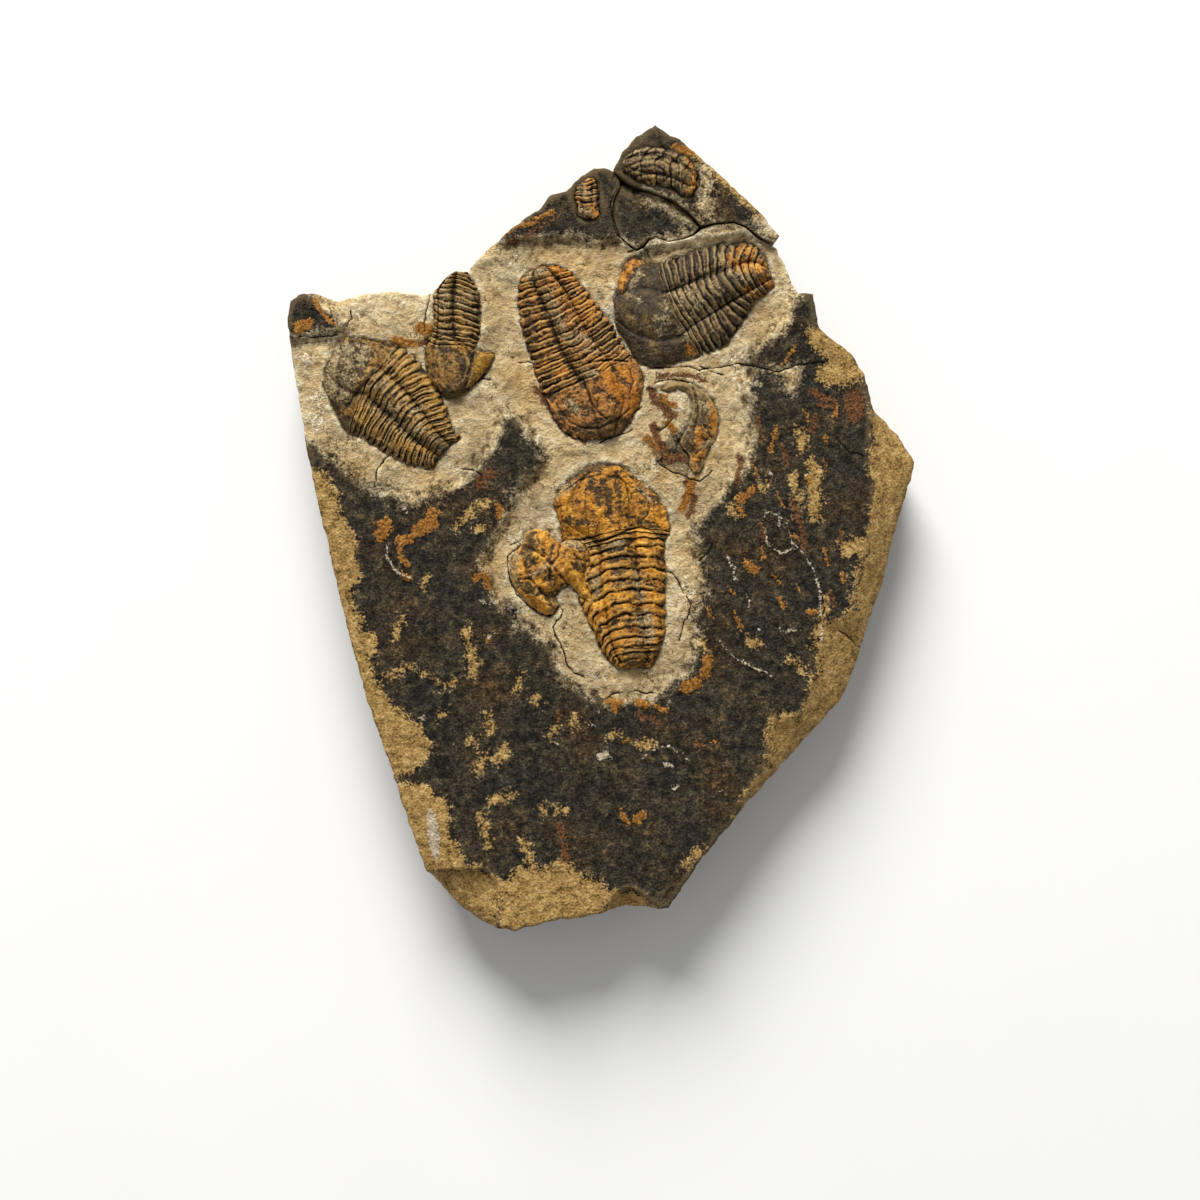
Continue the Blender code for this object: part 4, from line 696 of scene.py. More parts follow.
            (0.35, [(-24.2, 43.5), (-24.0, 38.8)]),
            (0.9, [(-30.3, 35.1), (-29.9, 34.4)]),
            (0.8, [(-26.9, 32.5), (-25.9, 29.8)]),
            (0.9, [(-30.9, 26.0), (-28.6, 25.6), (-26.5, 26.8)]),
            (0.7, [(-25.1, 33.8), (-24.6, 32.5)]),
        ],
        bright=[
            (1.4, [(-21.9, 32.7), (-22.7, 30.0)]),
            (0.9, [(-23.6, 31.3), (-23.2, 29.8)]),
            (0.6, [(-28.2, 35.0), (-26.3, 34.0)]),
            (0.5, [(-27.4, 41.2), (-26.9, 38.6)]),
            (0.5, [(-31.4, 39.3), (-30.9, 38.6)]),
        ],
        pale=[
            (0.7, [(-30.9, 45.0), (-29.9, 44.9)]),
            (0.3, [(-31.0, 43.7), (-29.1, 43.3)]),
            (0.35, [(-31.0, 42.4), (-29.5, 42.0)]),
            (0.4, [(-27.0, 43.1), (-26.3, 42.6)]),
            (0.4, [(-26.5, 45.0), (-25.0, 44.7)]),
            (0.3, [(-29.5, 48.3), (-28.4, 49.0)]),
        ],
        lines=[
            (0.3, [(-32.8, 36.3), (-29.9, 36.7), (-27.8, 36.3), (-25.9, 35.1), (-24.4, 34.2)]),
            (0.3, [(-24.4, 33.6), (-24.8, 31.7), (-25.5, 29.4)]),
            (0.3, [(-23.2, 34.0), (-21.9, 33.4), (-20.6, 33.6)]),
            (0.2, [(-30.9, 35.0), (-31.6, 32.1), (-30.9, 28.7), (-29.0, 26.4)]),
            (0.2, [(-26.7, 34.0), (-25.9, 31.3), (-26.7, 28.3)]),
        ]),
    "trilobite_corner": dict(
        stations=[
            ((4.2, 70.8), (4.0, 70.2), (3.8, 69.2), (4.2, 68.1)),
            ((6.5, 72.1), (6.3, 70.8), (5.9, 68.1), (6.1, 66.8)),
            ((9.5, 72.6), (9.3, 71.0), (8.8, 67.5), (8.6, 65.6)),
            ((12.6, 72.1), (12.2, 70.4), (11.6, 67.1), (11.4, 65.4)),
            ((15.2, 71.1), (14.9, 69.4), (14.1, 66.4), (13.7, 64.7)),
            ((17.3, 69.6), (16.6, 68.1), (16.4, 65.2), (16.0, 63.2)),
            ((18.1, 67.1), (18.0, 66.6), (17.9, 65.2), (17.5, 64.1)),
        ],
        head=0.6, tail=3.6, ribs=3, rise=1.3, bow=(0.2, 0.2), fine=0.3, shell=0.3,
        teeth=0.3, finish="dark_fossil",
        dark=[
            (1.0, [(9.1, 70.2), (13.3, 69.0)]),
            (0.9, [(16.0, 67.9), (16.2, 65.2)]),
            (0.6, [(7.2, 65.8), (10.1, 66.0), (12.6, 65.2)]),
            (0.9, [(5.6, 69.6), (8.4, 68.6)]),
        ],
        bright=[
            (0.6, [(17.3, 66.8), (17.9, 65.2), (17.0, 63.9)]),
            (0.4, [(7.2, 66.4), (9.5, 66.8)]),
            (0.5, [(16.2, 69.8), (17.1, 69.2)]),
        ],
        pale=[
            (0.1, [(4.6, 70.8), (8.2, 71.9), (11.4, 71.7)]),
            (0.1, [(5.7, 68.3), (8.8, 69.4)]),
            (0.1, [(14.7, 69.0), (14.3, 66.4)]),
        ],
        lines=[
            (0.3, [(4.2, 70.2), (7.2, 71.3), (10.3, 71.5), (13.0, 70.8), (14.5, 69.2),
                   (14.7, 67.3), (13.7, 65.6)]),
            (0.3, [(5.3, 68.9), (8.2, 70.0), (11.0, 70.2), (13.0, 68.9), (13.1, 67.1),
                   (11.8, 66.0)]),
            (0.3, [(5.0, 67.7), (7.6, 68.7), (10.1, 68.9), (11.6, 68.1), (11.8, 67.1)]),
            (0.25, [(5.7, 66.6), (8.2, 67.3), (10.3, 67.5)]),
        ]),
    "trilobite_top_edge": dict(
        stations=[
            ((-4.6, 59.7), (-3.4, 59.0), (-1.9, 58.8), (-0.6, 59.7)),
            ((-4.8, 61.2), (-3.6, 61.0), (-1.9, 61.0), (-0.6, 61.2)),
            ((-5.1, 62.6), (-4.0, 62.6), (-1.9, 62.6), (-0.6, 62.8)),
            ((-5.2, 63.9), (-4.0, 64.1), (-1.9, 64.3), (-0.7, 64.5)),
            ((-4.8, 65.0), (-3.8, 65.2), (-1.9, 65.6), (-0.9, 65.8)),
            ((-3.6, 66.1), (-3.0, 66.3), (-2.1, 66.6), (-1.3, 66.6)),
        ],
        head=1.0, tail=4.6, ribs=5, rise=0.9, bow=(0.2, 0.2), fine=0.3, shell=0.0,
        teeth=0.3, finish="brown_fossil",
        dark=[
            (0.4, [(-0.8, 67.1), (-0.6, 62.6)]),
            (0.5, [(-3.6, 61.8), (-1.1, 62.2)]),
            (0.4, [(-4.2, 59.3), (-1.9, 59.0)]),
        ],
        bright=[(0.5, [(-1.9, 61.0), (-1.0, 59.7)])],
        pale=[
            (0.7, [(-3.6, 64.1), (-2.5, 63.3)]),
            (0.4, [(-4.8, 64.9), (-4.2, 64.1)]),
            (0.5, [(-4.0, 60.5), (-2.7, 60.3)]),
        ],
        lines=[(0.3, [(-4.2, 61.9), (-2.7, 62.0), (-1.0, 62.1)])]),
}
# The broken fossils have an outline instead of stations, and lump, the height of their lumps,
# instead of ribs
BROKEN = {
    "loose_cephalon": dict(
        outline=[
            (-15.6, -3.3), (-14.5, -0.5), (-12.8, 0.1), (-10.3, -0.3), (-9.1, -1.6),
            (-8.0, -2.8), (-6.1, -1.6), (-4.2, -1.6), (-2.7, -2.6), (-1.9, -4.5), (-1.4, -6.2),
            (-2.1, -7.5), (-2.9, -8.8), (-2.5, -10.4), (-1.7, -12.1), (-0.9, -13.2),
            (-2.4, -14.0), (-3.8, -13.2), (-5.0, -11.9), (-6.3, -11.0), (-8.0, -11.5),
            (-9.1, -12.9), (-8.2, -14.6), (-9.3, -16.3), (-10.5, -16.6), (-12.2, -15.9),
            (-14.1, -14.4), (-16.0, -12.4), (-17.1, -10.4), (-17.6, -8.5), (-17.5, -6.4),
            (-16.8, -4.7),
        ],
        rise=2.3, lump=0.5, shell=0.25, finish="orange_fossil",
        dark=[
            (1.6, [(-13.9, -1.6), (-13.5, -5.4)]),
            (0.7, [(-4.8, -6.8), (-4.0, -7.3)]),
            (0.9, [(-8.8, -12.7), (-7.0, -11.5)]),
            (0.8, [(-10.3, -13.6), (-8.6, -14.4)]),
            (0.8, [(-14.7, -11.1), (-10.9, -12.1)]),
            (0.5, [(-10.3, -6.6), (-9.7, -10.8)]),
            (0.5, [(-8.6, -1.4), (-9.3, -0.9)]),
        ],
        bright=[
            (1.3, [(-5.7, -9.2), (-4.2, -10.4), (-2.7, -12.5)]),
            (0.7, [(-7.4, -6.2), (-6.5, -7.0)]),
            (0.9, [(-12.4, -9.8), (-10.9, -11.1)]),
            (0.9, [(-11.8, -14.2), (-10.9, -16.1)]),
            (0.8, [(-16.0, -6.4), (-15.2, -8.9)]),
            (0.5, [(-11.8, -0.5), (-10.5, -3.3)]),
            (0.7, [(-12.2, -5.2), (-10.9, -7.0)]),
        ],
        pale=[
            (0.7, [(-17.0, -7.5), (-16.6, -10.2)]),
            (0.4, [(-11.8, -7.9), (-10.7, -7.0)]),
            (0.4, [(-13.5, -9.0), (-12.6, -8.5)]),
            (0.8, [(-17.1, -4.9), (-16.6, -5.6)]),
            (1.0, [(-6.5, -2.2), (-3.6, -3.1)]),
            (0.3, [(-6.5, -11.1), (-5.5, -12.7)]),
        ],
        lines=[
            (0.4, [(-9.3, -1.6), (-8.0, -3.3), (-8.4, -5.2), (-9.7, -7.1), (-10.1, -9.8)]),
            (0.35, [(-5.3, -5.0), (-4.2, -6.0), (-2.3, -6.2)]),
            (0.3, [(-15.8, -9.8), (-13.7, -9.4), (-11.8, -11.7), (-9.9, -13.6)]),
            (0.3, [(-15.6, -3.1), (-12.8, -4.1), (-10.3, -6.0), (-8.0, -8.9), (-5.7, -11.7)]),
            (0.4, [(-8.8, -11.7), (-7.4, -13.6), (-7.6, -15.9)]),
        ]),
    "partial_cephalon": dict(
        outline=[
            (11.4, 26.6), (12.6, 27.9), (14.9, 28.2), (17.1, 27.7), (19.2, 26.4), (21.0, 24.6),
            (22.0, 22.6), (22.3, 20.7), (22.1, 18.6), (21.7, 16.7), (20.6, 15.5), (19.9, 14.0),
            (19.5, 12.1), (18.7, 10.6), (17.4, 10.6), (16.6, 12.1), (16.6, 14.0), (15.6, 15.2),
            (14.6, 16.4), (15.6, 18.2), (16.8, 20.4), (17.3, 22.6), (17.1, 24.8), (16.0, 26.2),
            (14.3, 26.6), (12.8, 26.0),
        ],
        rise=1.2, lump=0.3, shell=0.1, finish="dark_fossil",
        dark=[
            (0.9, [(11.8, 27.3), (14.9, 27.5), (17.5, 26.8), (18.7, 25.4)]),
            (0.9, [(18.3, 24.5), (18.7, 21.6), (19.0, 20.3)]),
            (0.6, [(19.8, 25.0), (20.6, 24.1)]),
            (0.8, [(15.4, 16.5), (16.6, 15.2)]),
        ],
        bright=[
            (1.0, [(21.0, 23.3), (21.5, 21.0), (21.7, 18.8)]),
            (1.0, [(18.9, 18.4), (18.5, 15.9)]),
            (0.9, [(19.8, 14.6), (17.7, 13.0)]),
            (0.9, [(17.3, 11.5), (18.7, 10.8)]),
            (0.6, [(21.0, 17.6), (21.1, 16.7)]),
        ],
        pale=[
            (0.4, [(19.6, 23.7), (20.2, 22.2)]),
            (0.35, [(18.1, 24.7), (18.5, 23.7)]),
            (0.3, [(19.2, 15.7), (21.0, 16.9)]),
        ],
        lines=[
            (0.3, [(17.3, 26.8), (18.1, 24.5), (18.3, 21.6), (17.5, 18.8)]),
            (0.3, [(19.4, 19.7), (20.2, 18.2), (21.3, 16.9)]),
            (0.3, [(18.7, 15.0), (17.3, 13.6), (19.8, 13.2)]),
        ]),
}


def linear(colour):
    """An sRGB hex colour as the linear RGBA that Blender's sockets hold."""
    parts = [int(colour[i:i + 2], 16) / 255.0 for i in (1, 3, 5)]
    return (*(p / 12.92 if p <= 0.04045 else ((p + 0.055) / 1.055) ** 2.4 for p in parts), 1.0)


def smooth_step(value):
    t = np.clip(value, 0.0, 1.0)
    return t * t * (3.0 - 2.0 * t)


def lumps(x, y, size, seed, octaves=3):
    """Noise of about -1 to 1 at each place, its largest lumps this many mm apart."""
    return np.array([noise.fractal(Vector((a / size, b / size, seed)), 1.0, 2.0, octaves)
                     for a, b in zip(x, y)])


def segment_distance(x, y, a, b):
    dx, dy = b[0] - a[0], b[1] - a[1]
    along = ((x - a[0]) * dx + (y - a[1]) * dy) / max(dx * dx + dy * dy, 1e-9)
    along = np.clip(along, 0.0, 1.0)
    return np.hypot(x - a[0] - along * dx, y - a[1] - along * dy)


def line_distance(x, y, line):
    """Distance to a line of places, no further than REACH."""
    (low_x, low_y), (high_x, high_y) = np.min(line, axis=0), np.max(line, axis=0)
    near = (x > low_x - REACH) & (x < high_x + REACH) & (y > low_y - REACH) & (y < high_y + REACH)
    ends = list(zip(line, line[1:])) or [(line[0], line[0])]
    distance = np.full(x.shape, REACH)
    distance[near] = reduce(np.minimum, (segment_distance(x[near], y[near], a, b) for a, b in ends))
    return np.minimum(distance, REACH)


def marks_depth(x, y, marks):
    """Depth inside the nearest mark, below zero outside them all."""
    return reduce(np.maximum, (half - line_distance(x, y, line) for half, line in marks))


def depth_inside(x, y, outline):
    """Distance to an outline, above zero inside it and below zero outside."""
    inside = np.zeros(x.shape, bool)
    nearest = np.full(x.shape, 1e6)
    for a, b in zip(outline, outline[1:] + outline[:1]):
        if a[1] != b[1]:
            at = a[0] + (y - a[1]) / (b[1] - a[1]) * (b[0] - a[0])
            inside ^= ((a[1] > y) != (b[1] > y)) & (x < at)
        nearest = np.minimum(nearest, segment_distance(x, y, a, b))
    return np.where(inside, nearest, -nearest)


def resampled(line, spacing, closed=True):
    """The line with corners no further apart than this."""
    points = []
    for a, b in zip(line, line[1:] + line[:1] if closed else line[1:]):
        steps = max(1, round(math.dist(a, b) / spacing))
        points += [(a[0] + (b[0] - a[0]) * i / steps, a[1] + (b[1] - a[1]) * i / steps)
                   for i in range(steps)]
    return points if closed else points + [line[-1]]


def warped(x, y, amount, size, seed):
    """The places moved about, so that an outline tested on them has an uneven edge."""
    return x + amount * lumps(x, y, size, seed), y + amount * lumps(x, y, size, seed + 5.0)


def wandering(line, spacing, amount, seed):
    """The line as an uneven break: its corners closer together and out of line."""
    return list(zip(*warped(*np.array(resampled(line, spacing, closed=False)).T, amount, 1.6, seed)))


# Bedding face without its fossils, as the solids have it
def chip_drop(x, y, outline, edge_depth):
    depth = np.maximum(depth_inside(x, y, outline), 0.0)
    slope = depth / (depth + np.maximum(edge_depth, 0.0) + 1e-6)
    return CHIP_STEP * smooth_step(depth / 0.8) + CHIP_DROP * slope


def slab_base(x, y):
    edge_depth = depth_inside(x, y, SLAB_OUTLINE)
    z = BEDDING_Z + 0.45 * lumps(x, y, 28.6, 4.2)
    z -= CLEARED_DEPTH * smooth_step(0.5 + depth_inside(x, y, CLEARED_OUTLINE) / CLEARED_SLOPE)
    strip = np.maximum(depth_inside(x, y, STRIP_OUTLINE), 0.0)
    z -= STRIP_DROP * strip / (strip + np.maximum(edge_depth, 0.0) + 1e-6)
    z -= chip_drop(x, y, LOWER_LEFT_CHIP, edge_depth)
    return z - chip_drop(x, y, LOWER_CHIP, edge_depth)


def corner_base(x, y):
    return BEDDING_Z + CORNER_RISE + 0.35 * lumps(x, y, 11.1, 9.0, 2)


def wedge_base(x, y):
    to_corner = -depth_inside(x, y, CORNER_OUTLINE)
    ledge = WEDGE_LEDGE * (1.0 - smooth_step(to_corner / 2.5))
    return BEDDING_Z - WEDGE_DROP - ledge + 0.3 * lumps(x, y, 8.3, 1.5, 2)


# Places on a ribbed body
def body_places(stations, t, column):
    """The (x, y) at stations t and columns from -1 to 1 across the body, all as arrays."""
    rows = np.array(stations)
    last = len(rows) - 1
    i = np.clip(t.astype(int), 0, last - 1)
    u = (t - i)[:, None, None]
    weights = (-0.5 * u + u * u - 0.5 * u ** 3, 1.0 - 2.5 * u * u + 1.5 * u ** 3,
               0.5 * u + 2.0 * u * u - 1.5 * u ** 3, -0.5 * u * u + 0.5 * u ** 3)
    four = sum(w * rows[np.clip(i + k, 0, last)] for k, w in zip((-1, 0, 1, 2), weights))
    outer_a = np.clip((column + 1.0) / (1.0 - FURROW), 0.0, 1.0)[:, None]
    middle = np.clip((column + FURROW) / (2.0 * FURROW), 0.0, 1.0)[:, None]
    outer_b = np.clip((column - FURROW) / (1.0 - FURROW), 0.0, 1.0)[:, None]
    place = four[:, 0] + (four[:, 1] - four[:, 0]) * outer_a
    place += (four[:, 2] - four[:, 1]) * middle + (four[:, 3] - four[:, 2]) * outer_b
    return place[:, 0], place[:, 1]


def body_outline(stations):
    """A ribbed fossil's own outline, clockwise."""
    last = len(stations) - 1.0
    steps = np.arange(0.0, last + 0.01, 0.25)
    columns = np.array([FURROW, 0.0, -FURROW])
    t = np.concatenate([steps, np.full(3, last), steps[::-1], np.zeros(3)])
    column = np.concatenate([np.ones(len(steps)), columns, -np.ones(len(steps)), -columns])
    x, y = body_places(stations, t, column)
    outline = list(zip(x, y))
    area = sum(a[0] * b[1] - b[0] * a[1] for a, b in zip(outline, outline[1:] + outline[:1]))
    return outline if area < 0.0 else outline[::-1]


FOSSIL_OUTLINES = {name: body_outline(f["stations"]) for name, f in RIBBED.items()}
FOSSIL_OUTLINES.update({name: f["outline"] for name, f in BROKEN.items()})
# Where two fossils overlap, the second dips under the first
OVERLAPS = {"trilobite_centre": "loose_cephalon", "trilobite_left": "trilobite_upper_left",
            "trilobite_dark": "trilobite_upper"}
CRACK_LINES = [wandering(line, 0.5, 0.3, 11.0) for line in CRACKS]
RIDGE_LINES = [wandering(line, 0.7, 0.3, 17.0) for line in RIDGES]
FINE_LINES = CRACK_LINES + RIDGE_LINES


# Meshes
def make_piece(name, points, faces, attributes, material, node, slot):
    """A closed mesh in metres that replaces a node of the frame."""
    mesh = bpy.data.meshes.new(name)
    mesh.from_pydata(np.asarray(points) * MM, [], faces)
    mesh.validate()
    for key, values in attributes.items():
        layer = mesh.attributes.new(key, "FLOAT", "POINT")
        layer.data.foreach_set("value", np.asarray(values, np.float32))
    mesh.materials.append(material)
    piece = bpy.data.objects.new(name, mesh)
    bpy.context.scene.collection.objects.link(piece)
    mesh.shade_smooth()
    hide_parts(node)
    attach(piece, "root")
    return piece


def hollows(faces, z, rounds):
    """How far each point stands over the ground round it, below zero in a hollow."""
    faces = np.array([f[:3] for f in faces if len(f) < 5])
    a = np.concatenate([faces[:, 0], faces[:, 1], faces[:, 2]])
    b = np.concatenate([faces[:, 1], faces[:, 2], faces[:, 0]])
    count = np.bincount(a, minlength=len(z)) + np.bincount(b, minlength=len(z))
    ground = z
    for _ in range(rounds):
        total = np.bincount(a, ground[b], len(z)) + np.bincount(b, ground[a], len(z))
        ground = total / np.maximum(count, 1)
    return z - ground


def scattered(outline, spacing, seed):
    """Uneven rows of places inside an outline."""
    xs, ys = np.array(outline).T
    columns = np.arange(xs.min(), xs.max(), spacing)
    rows = np.arange(ys.min(), ys.max(), spacing * 0.87)
    x, y = np.meshgrid(columns, rows)
    x[1::2] += spacing / 2.0
    jitter = np.random.default_rng(seed).uniform(-0.22, 0.22, (2, *x.shape)) * spacing
    x, y = (x + jitter[0]).ravel(), (y + jitter[1]).ravel()
    kept = depth_inside(x, y, outline) > 0.45 * spacing
    return x[kept], y[kept]


def triangulated(rim, x, y):
    """Points and triangles of a face with this rim and these places inside it."""
    loop = [(i, (i + 1) % len(rim)) for i in range(len(rim))]
    places = [Vector(p) for p in rim] + [Vector(p) for p in zip(x, y)]
    flat, _, triangles, origins, _, _ = delaunay_2d_cdt(places, loop, [], 1, 1e-4)
    number_of = {source: i for i, sources in enumerate(origins) for source in sources}
    return np.array([(p.x, p.y) for p in flat]), triangles, [number_of[i] for i in range(len(rim))]


def ring_normals(ring, reach):
    """Inward directions along a clockwise ring, evened out over this many corners."""
    points = np.array(ring)
    along = np.roll(points, -reach, axis=0) - np.roll(points, reach, axis=0)
    normals = np.stack([along[:, 1], -along[:, 0]], axis=1)
    return normals / np.maximum(np.linalg.norm(normals, axis=1), 1e-6)[:, None]


def closed_relief(rim, inside, top_height, lower_rings, base_spacing):
    """Points and faces of a solid: relief on top, walls through lower_rings, a flat base.

    Each lower ring is an array of (x, y, z), one for each corner of the rim. Also gives the
    number of points on the top face.
    """
    flat, triangles, top_ring = triangulated(rim, *inside)
    top = np.column_stack([flat, top_height(flat[:, 0], flat[:, 1])])
    points = [top]
    faces = [tuple(t) for t in triangles]
    upper = top_ring
    total = len(top)
    for ring in lower_rings:
        lower = list(range(total, total + len(ring)))
        points.append(ring)
        total += len(ring)
        following = upper[1:] + upper[:1]
        faces += list(zip(upper, following, lower[1:] + lower[:1], lower))
        upper = lower
    base_ring = [tuple(p[:2]) for p in lower_rings[-1]]
    base, triangles, ring_numbers = triangulated(base_ring, *scattered(base_ring, base_spacing, 5))
    number = {near: upper[i] for i, near in enumerate(ring_numbers)}
    fresh = [i for i in range(len(base)) if i not in number]
    number.update({near: total + i for i, near in enumerate(fresh)})
    points.append(np.column_stack([base[fresh], np.full(len(fresh), lower_rings[-1][0][2])]))
    faces += [tuple(number[i] for i in reversed(t)) for t in triangles]
    return np.concatenate(points), faces, len(top)


# Finishes
def add(tree, kind, inputs=None, stops=None, out=None, **settings):
    """Adds a node with its settings, colour stops, values and links, and gives an output."""
    node = tree.nodes.new(kind)
    for name, value in settings.items():
        setattr(node, name, value)
    if stops:
        elements = node.color_ramp.elements
        while len(elements) < len(stops):
            elements.new(0.5)
        for element, (place, colour) in zip(elements, stops):
            element.position, element.color = place, linear(colour)
    for name, value in (inputs or {}).items():
        found = [s for s in node.inputs if s.name == name and s.enabled] or [node.inputs[name]]
        if isinstance(value, bpy.types.NodeSocket):
            tree.links.new(value, found[0])
        else:
            found[0].default_value = linear(value) if isinstance(value, str) else value
    return node.outputs[out] if out else next((s for s in node.outputs if s.enabled), None)


def new_finish(name):
    """A material without nodes, and its node tree."""
    material = bpy.data.materials.new(name)
    material.use_nodes = True
    material.node_tree.nodes.clear()
    return material, material.node_tree


def laid_over(tree, below, above, mark, grain, wander, soft):
    """A colour over another inside a mark, whose edge wanders and fades by these mm."""
    depth = add(tree, "ShaderNodeAttribute", out="Fac", attribute_name=mark)
    moved = add(tree, "ShaderNodeMath", {0: grain, 1: 8.0 * wander, 2: -4.0 * wander},
                operation="MULTIPLY_ADD")
    depth = add(tree, "ShaderNodeMath", {0: depth, 1: moved})
    mask = add(tree, "ShaderNodeMapRange", {"Value": depth, "From Min": -soft / 2.0,
                                            "From Max": soft / 2.0})
    return add(tree, "ShaderNodeMix", {"Factor": mask, "A": below, "B": above}, data_type="RGBA")


def toned(tree, middle, low, high, tone):
    """Three colours, picked by a tone of -1 to 1."""
    down = add(tree, "ShaderNodeMapRange", {"Value": tone, "From Max": -1.0})
    up = add(tree, "ShaderNodeMapRange", {"Value": tone, "From Max": 1.0})
    colour = add(tree, "ShaderNodeMix", {"Factor": down, "A": middle, "B": low}, data_type="RGBA")
    return add(tree, "ShaderNodeMix", {"Factor": up, "A": colour, "B": high}, data_type="RGBA")


def shade_grime_and_highlight(tree, colour, shade_and_grime, shade_depth, highlight_and_rubbing, highlight_height, most):
    """A colour darkened in the hollows of the piece by painted shade and grime, and lightened on its
    crests by a painted highlight and rubbing.
    """
    hollow = add(tree, "ShaderNodeAttribute", out="Fac", attribute_name="hollow")
    down = add(tree, "ShaderNodeMapRange", {"Value": hollow, "From Min": -0.2 * shade_depth,
                                            "From Max": -shade_depth, "To Max": 0.9})
    up = add(tree, "ShaderNodeMapRange", {"Value": hollow, "From Min": 0.3 * highlight_height,
                                          "From Max": highlight_height, "To Max": most})
    colour = add(tree, "ShaderNodeMix", {"Factor": down, "A": colour, "B": shade_and_grime},
                 data_type="RGBA")
    return add(tree, "ShaderNodeMix", {"Factor": up, "A": colour, "B": highlight_and_rubbing}, data_type="RGBA")


def hairlines(tree, place, size, width):
    """1 along fine lines that wander about size mm and break off, 0 elsewhere."""
    wander = add(tree, "ShaderNodeTexNoise", {
        "Vector": place, "Scale": 1.0 / (size * MM), "Detail": 6.0, "Roughness": 0.6})
    off = add(tree, "ShaderNodeMath", {0: wander, 1: 0.5}, operation="SUBTRACT")
    off = add(tree, "ShaderNodeMath", {0: off}, operation="ABSOLUTE")
    line = add(tree, "ShaderNodeMapRange", {"Value": off, "From Min": width,
                                            "From Max": 0.3 * width})
    breaks = add(tree, "ShaderNodeTexNoise", {
        "Vector": place, "Scale": 0.7 / (size * MM), "Detail": 2.0, "Distortion": 0.5})
    breaks = add(tree, "ShaderNodeMapRange", {"Value": breaks, "From Min": 0.48,
                                              "From Max": 0.58})
    return add(tree, "ShaderNodeMath", {0: line, 1: breaks}, operation="MULTIPLY")


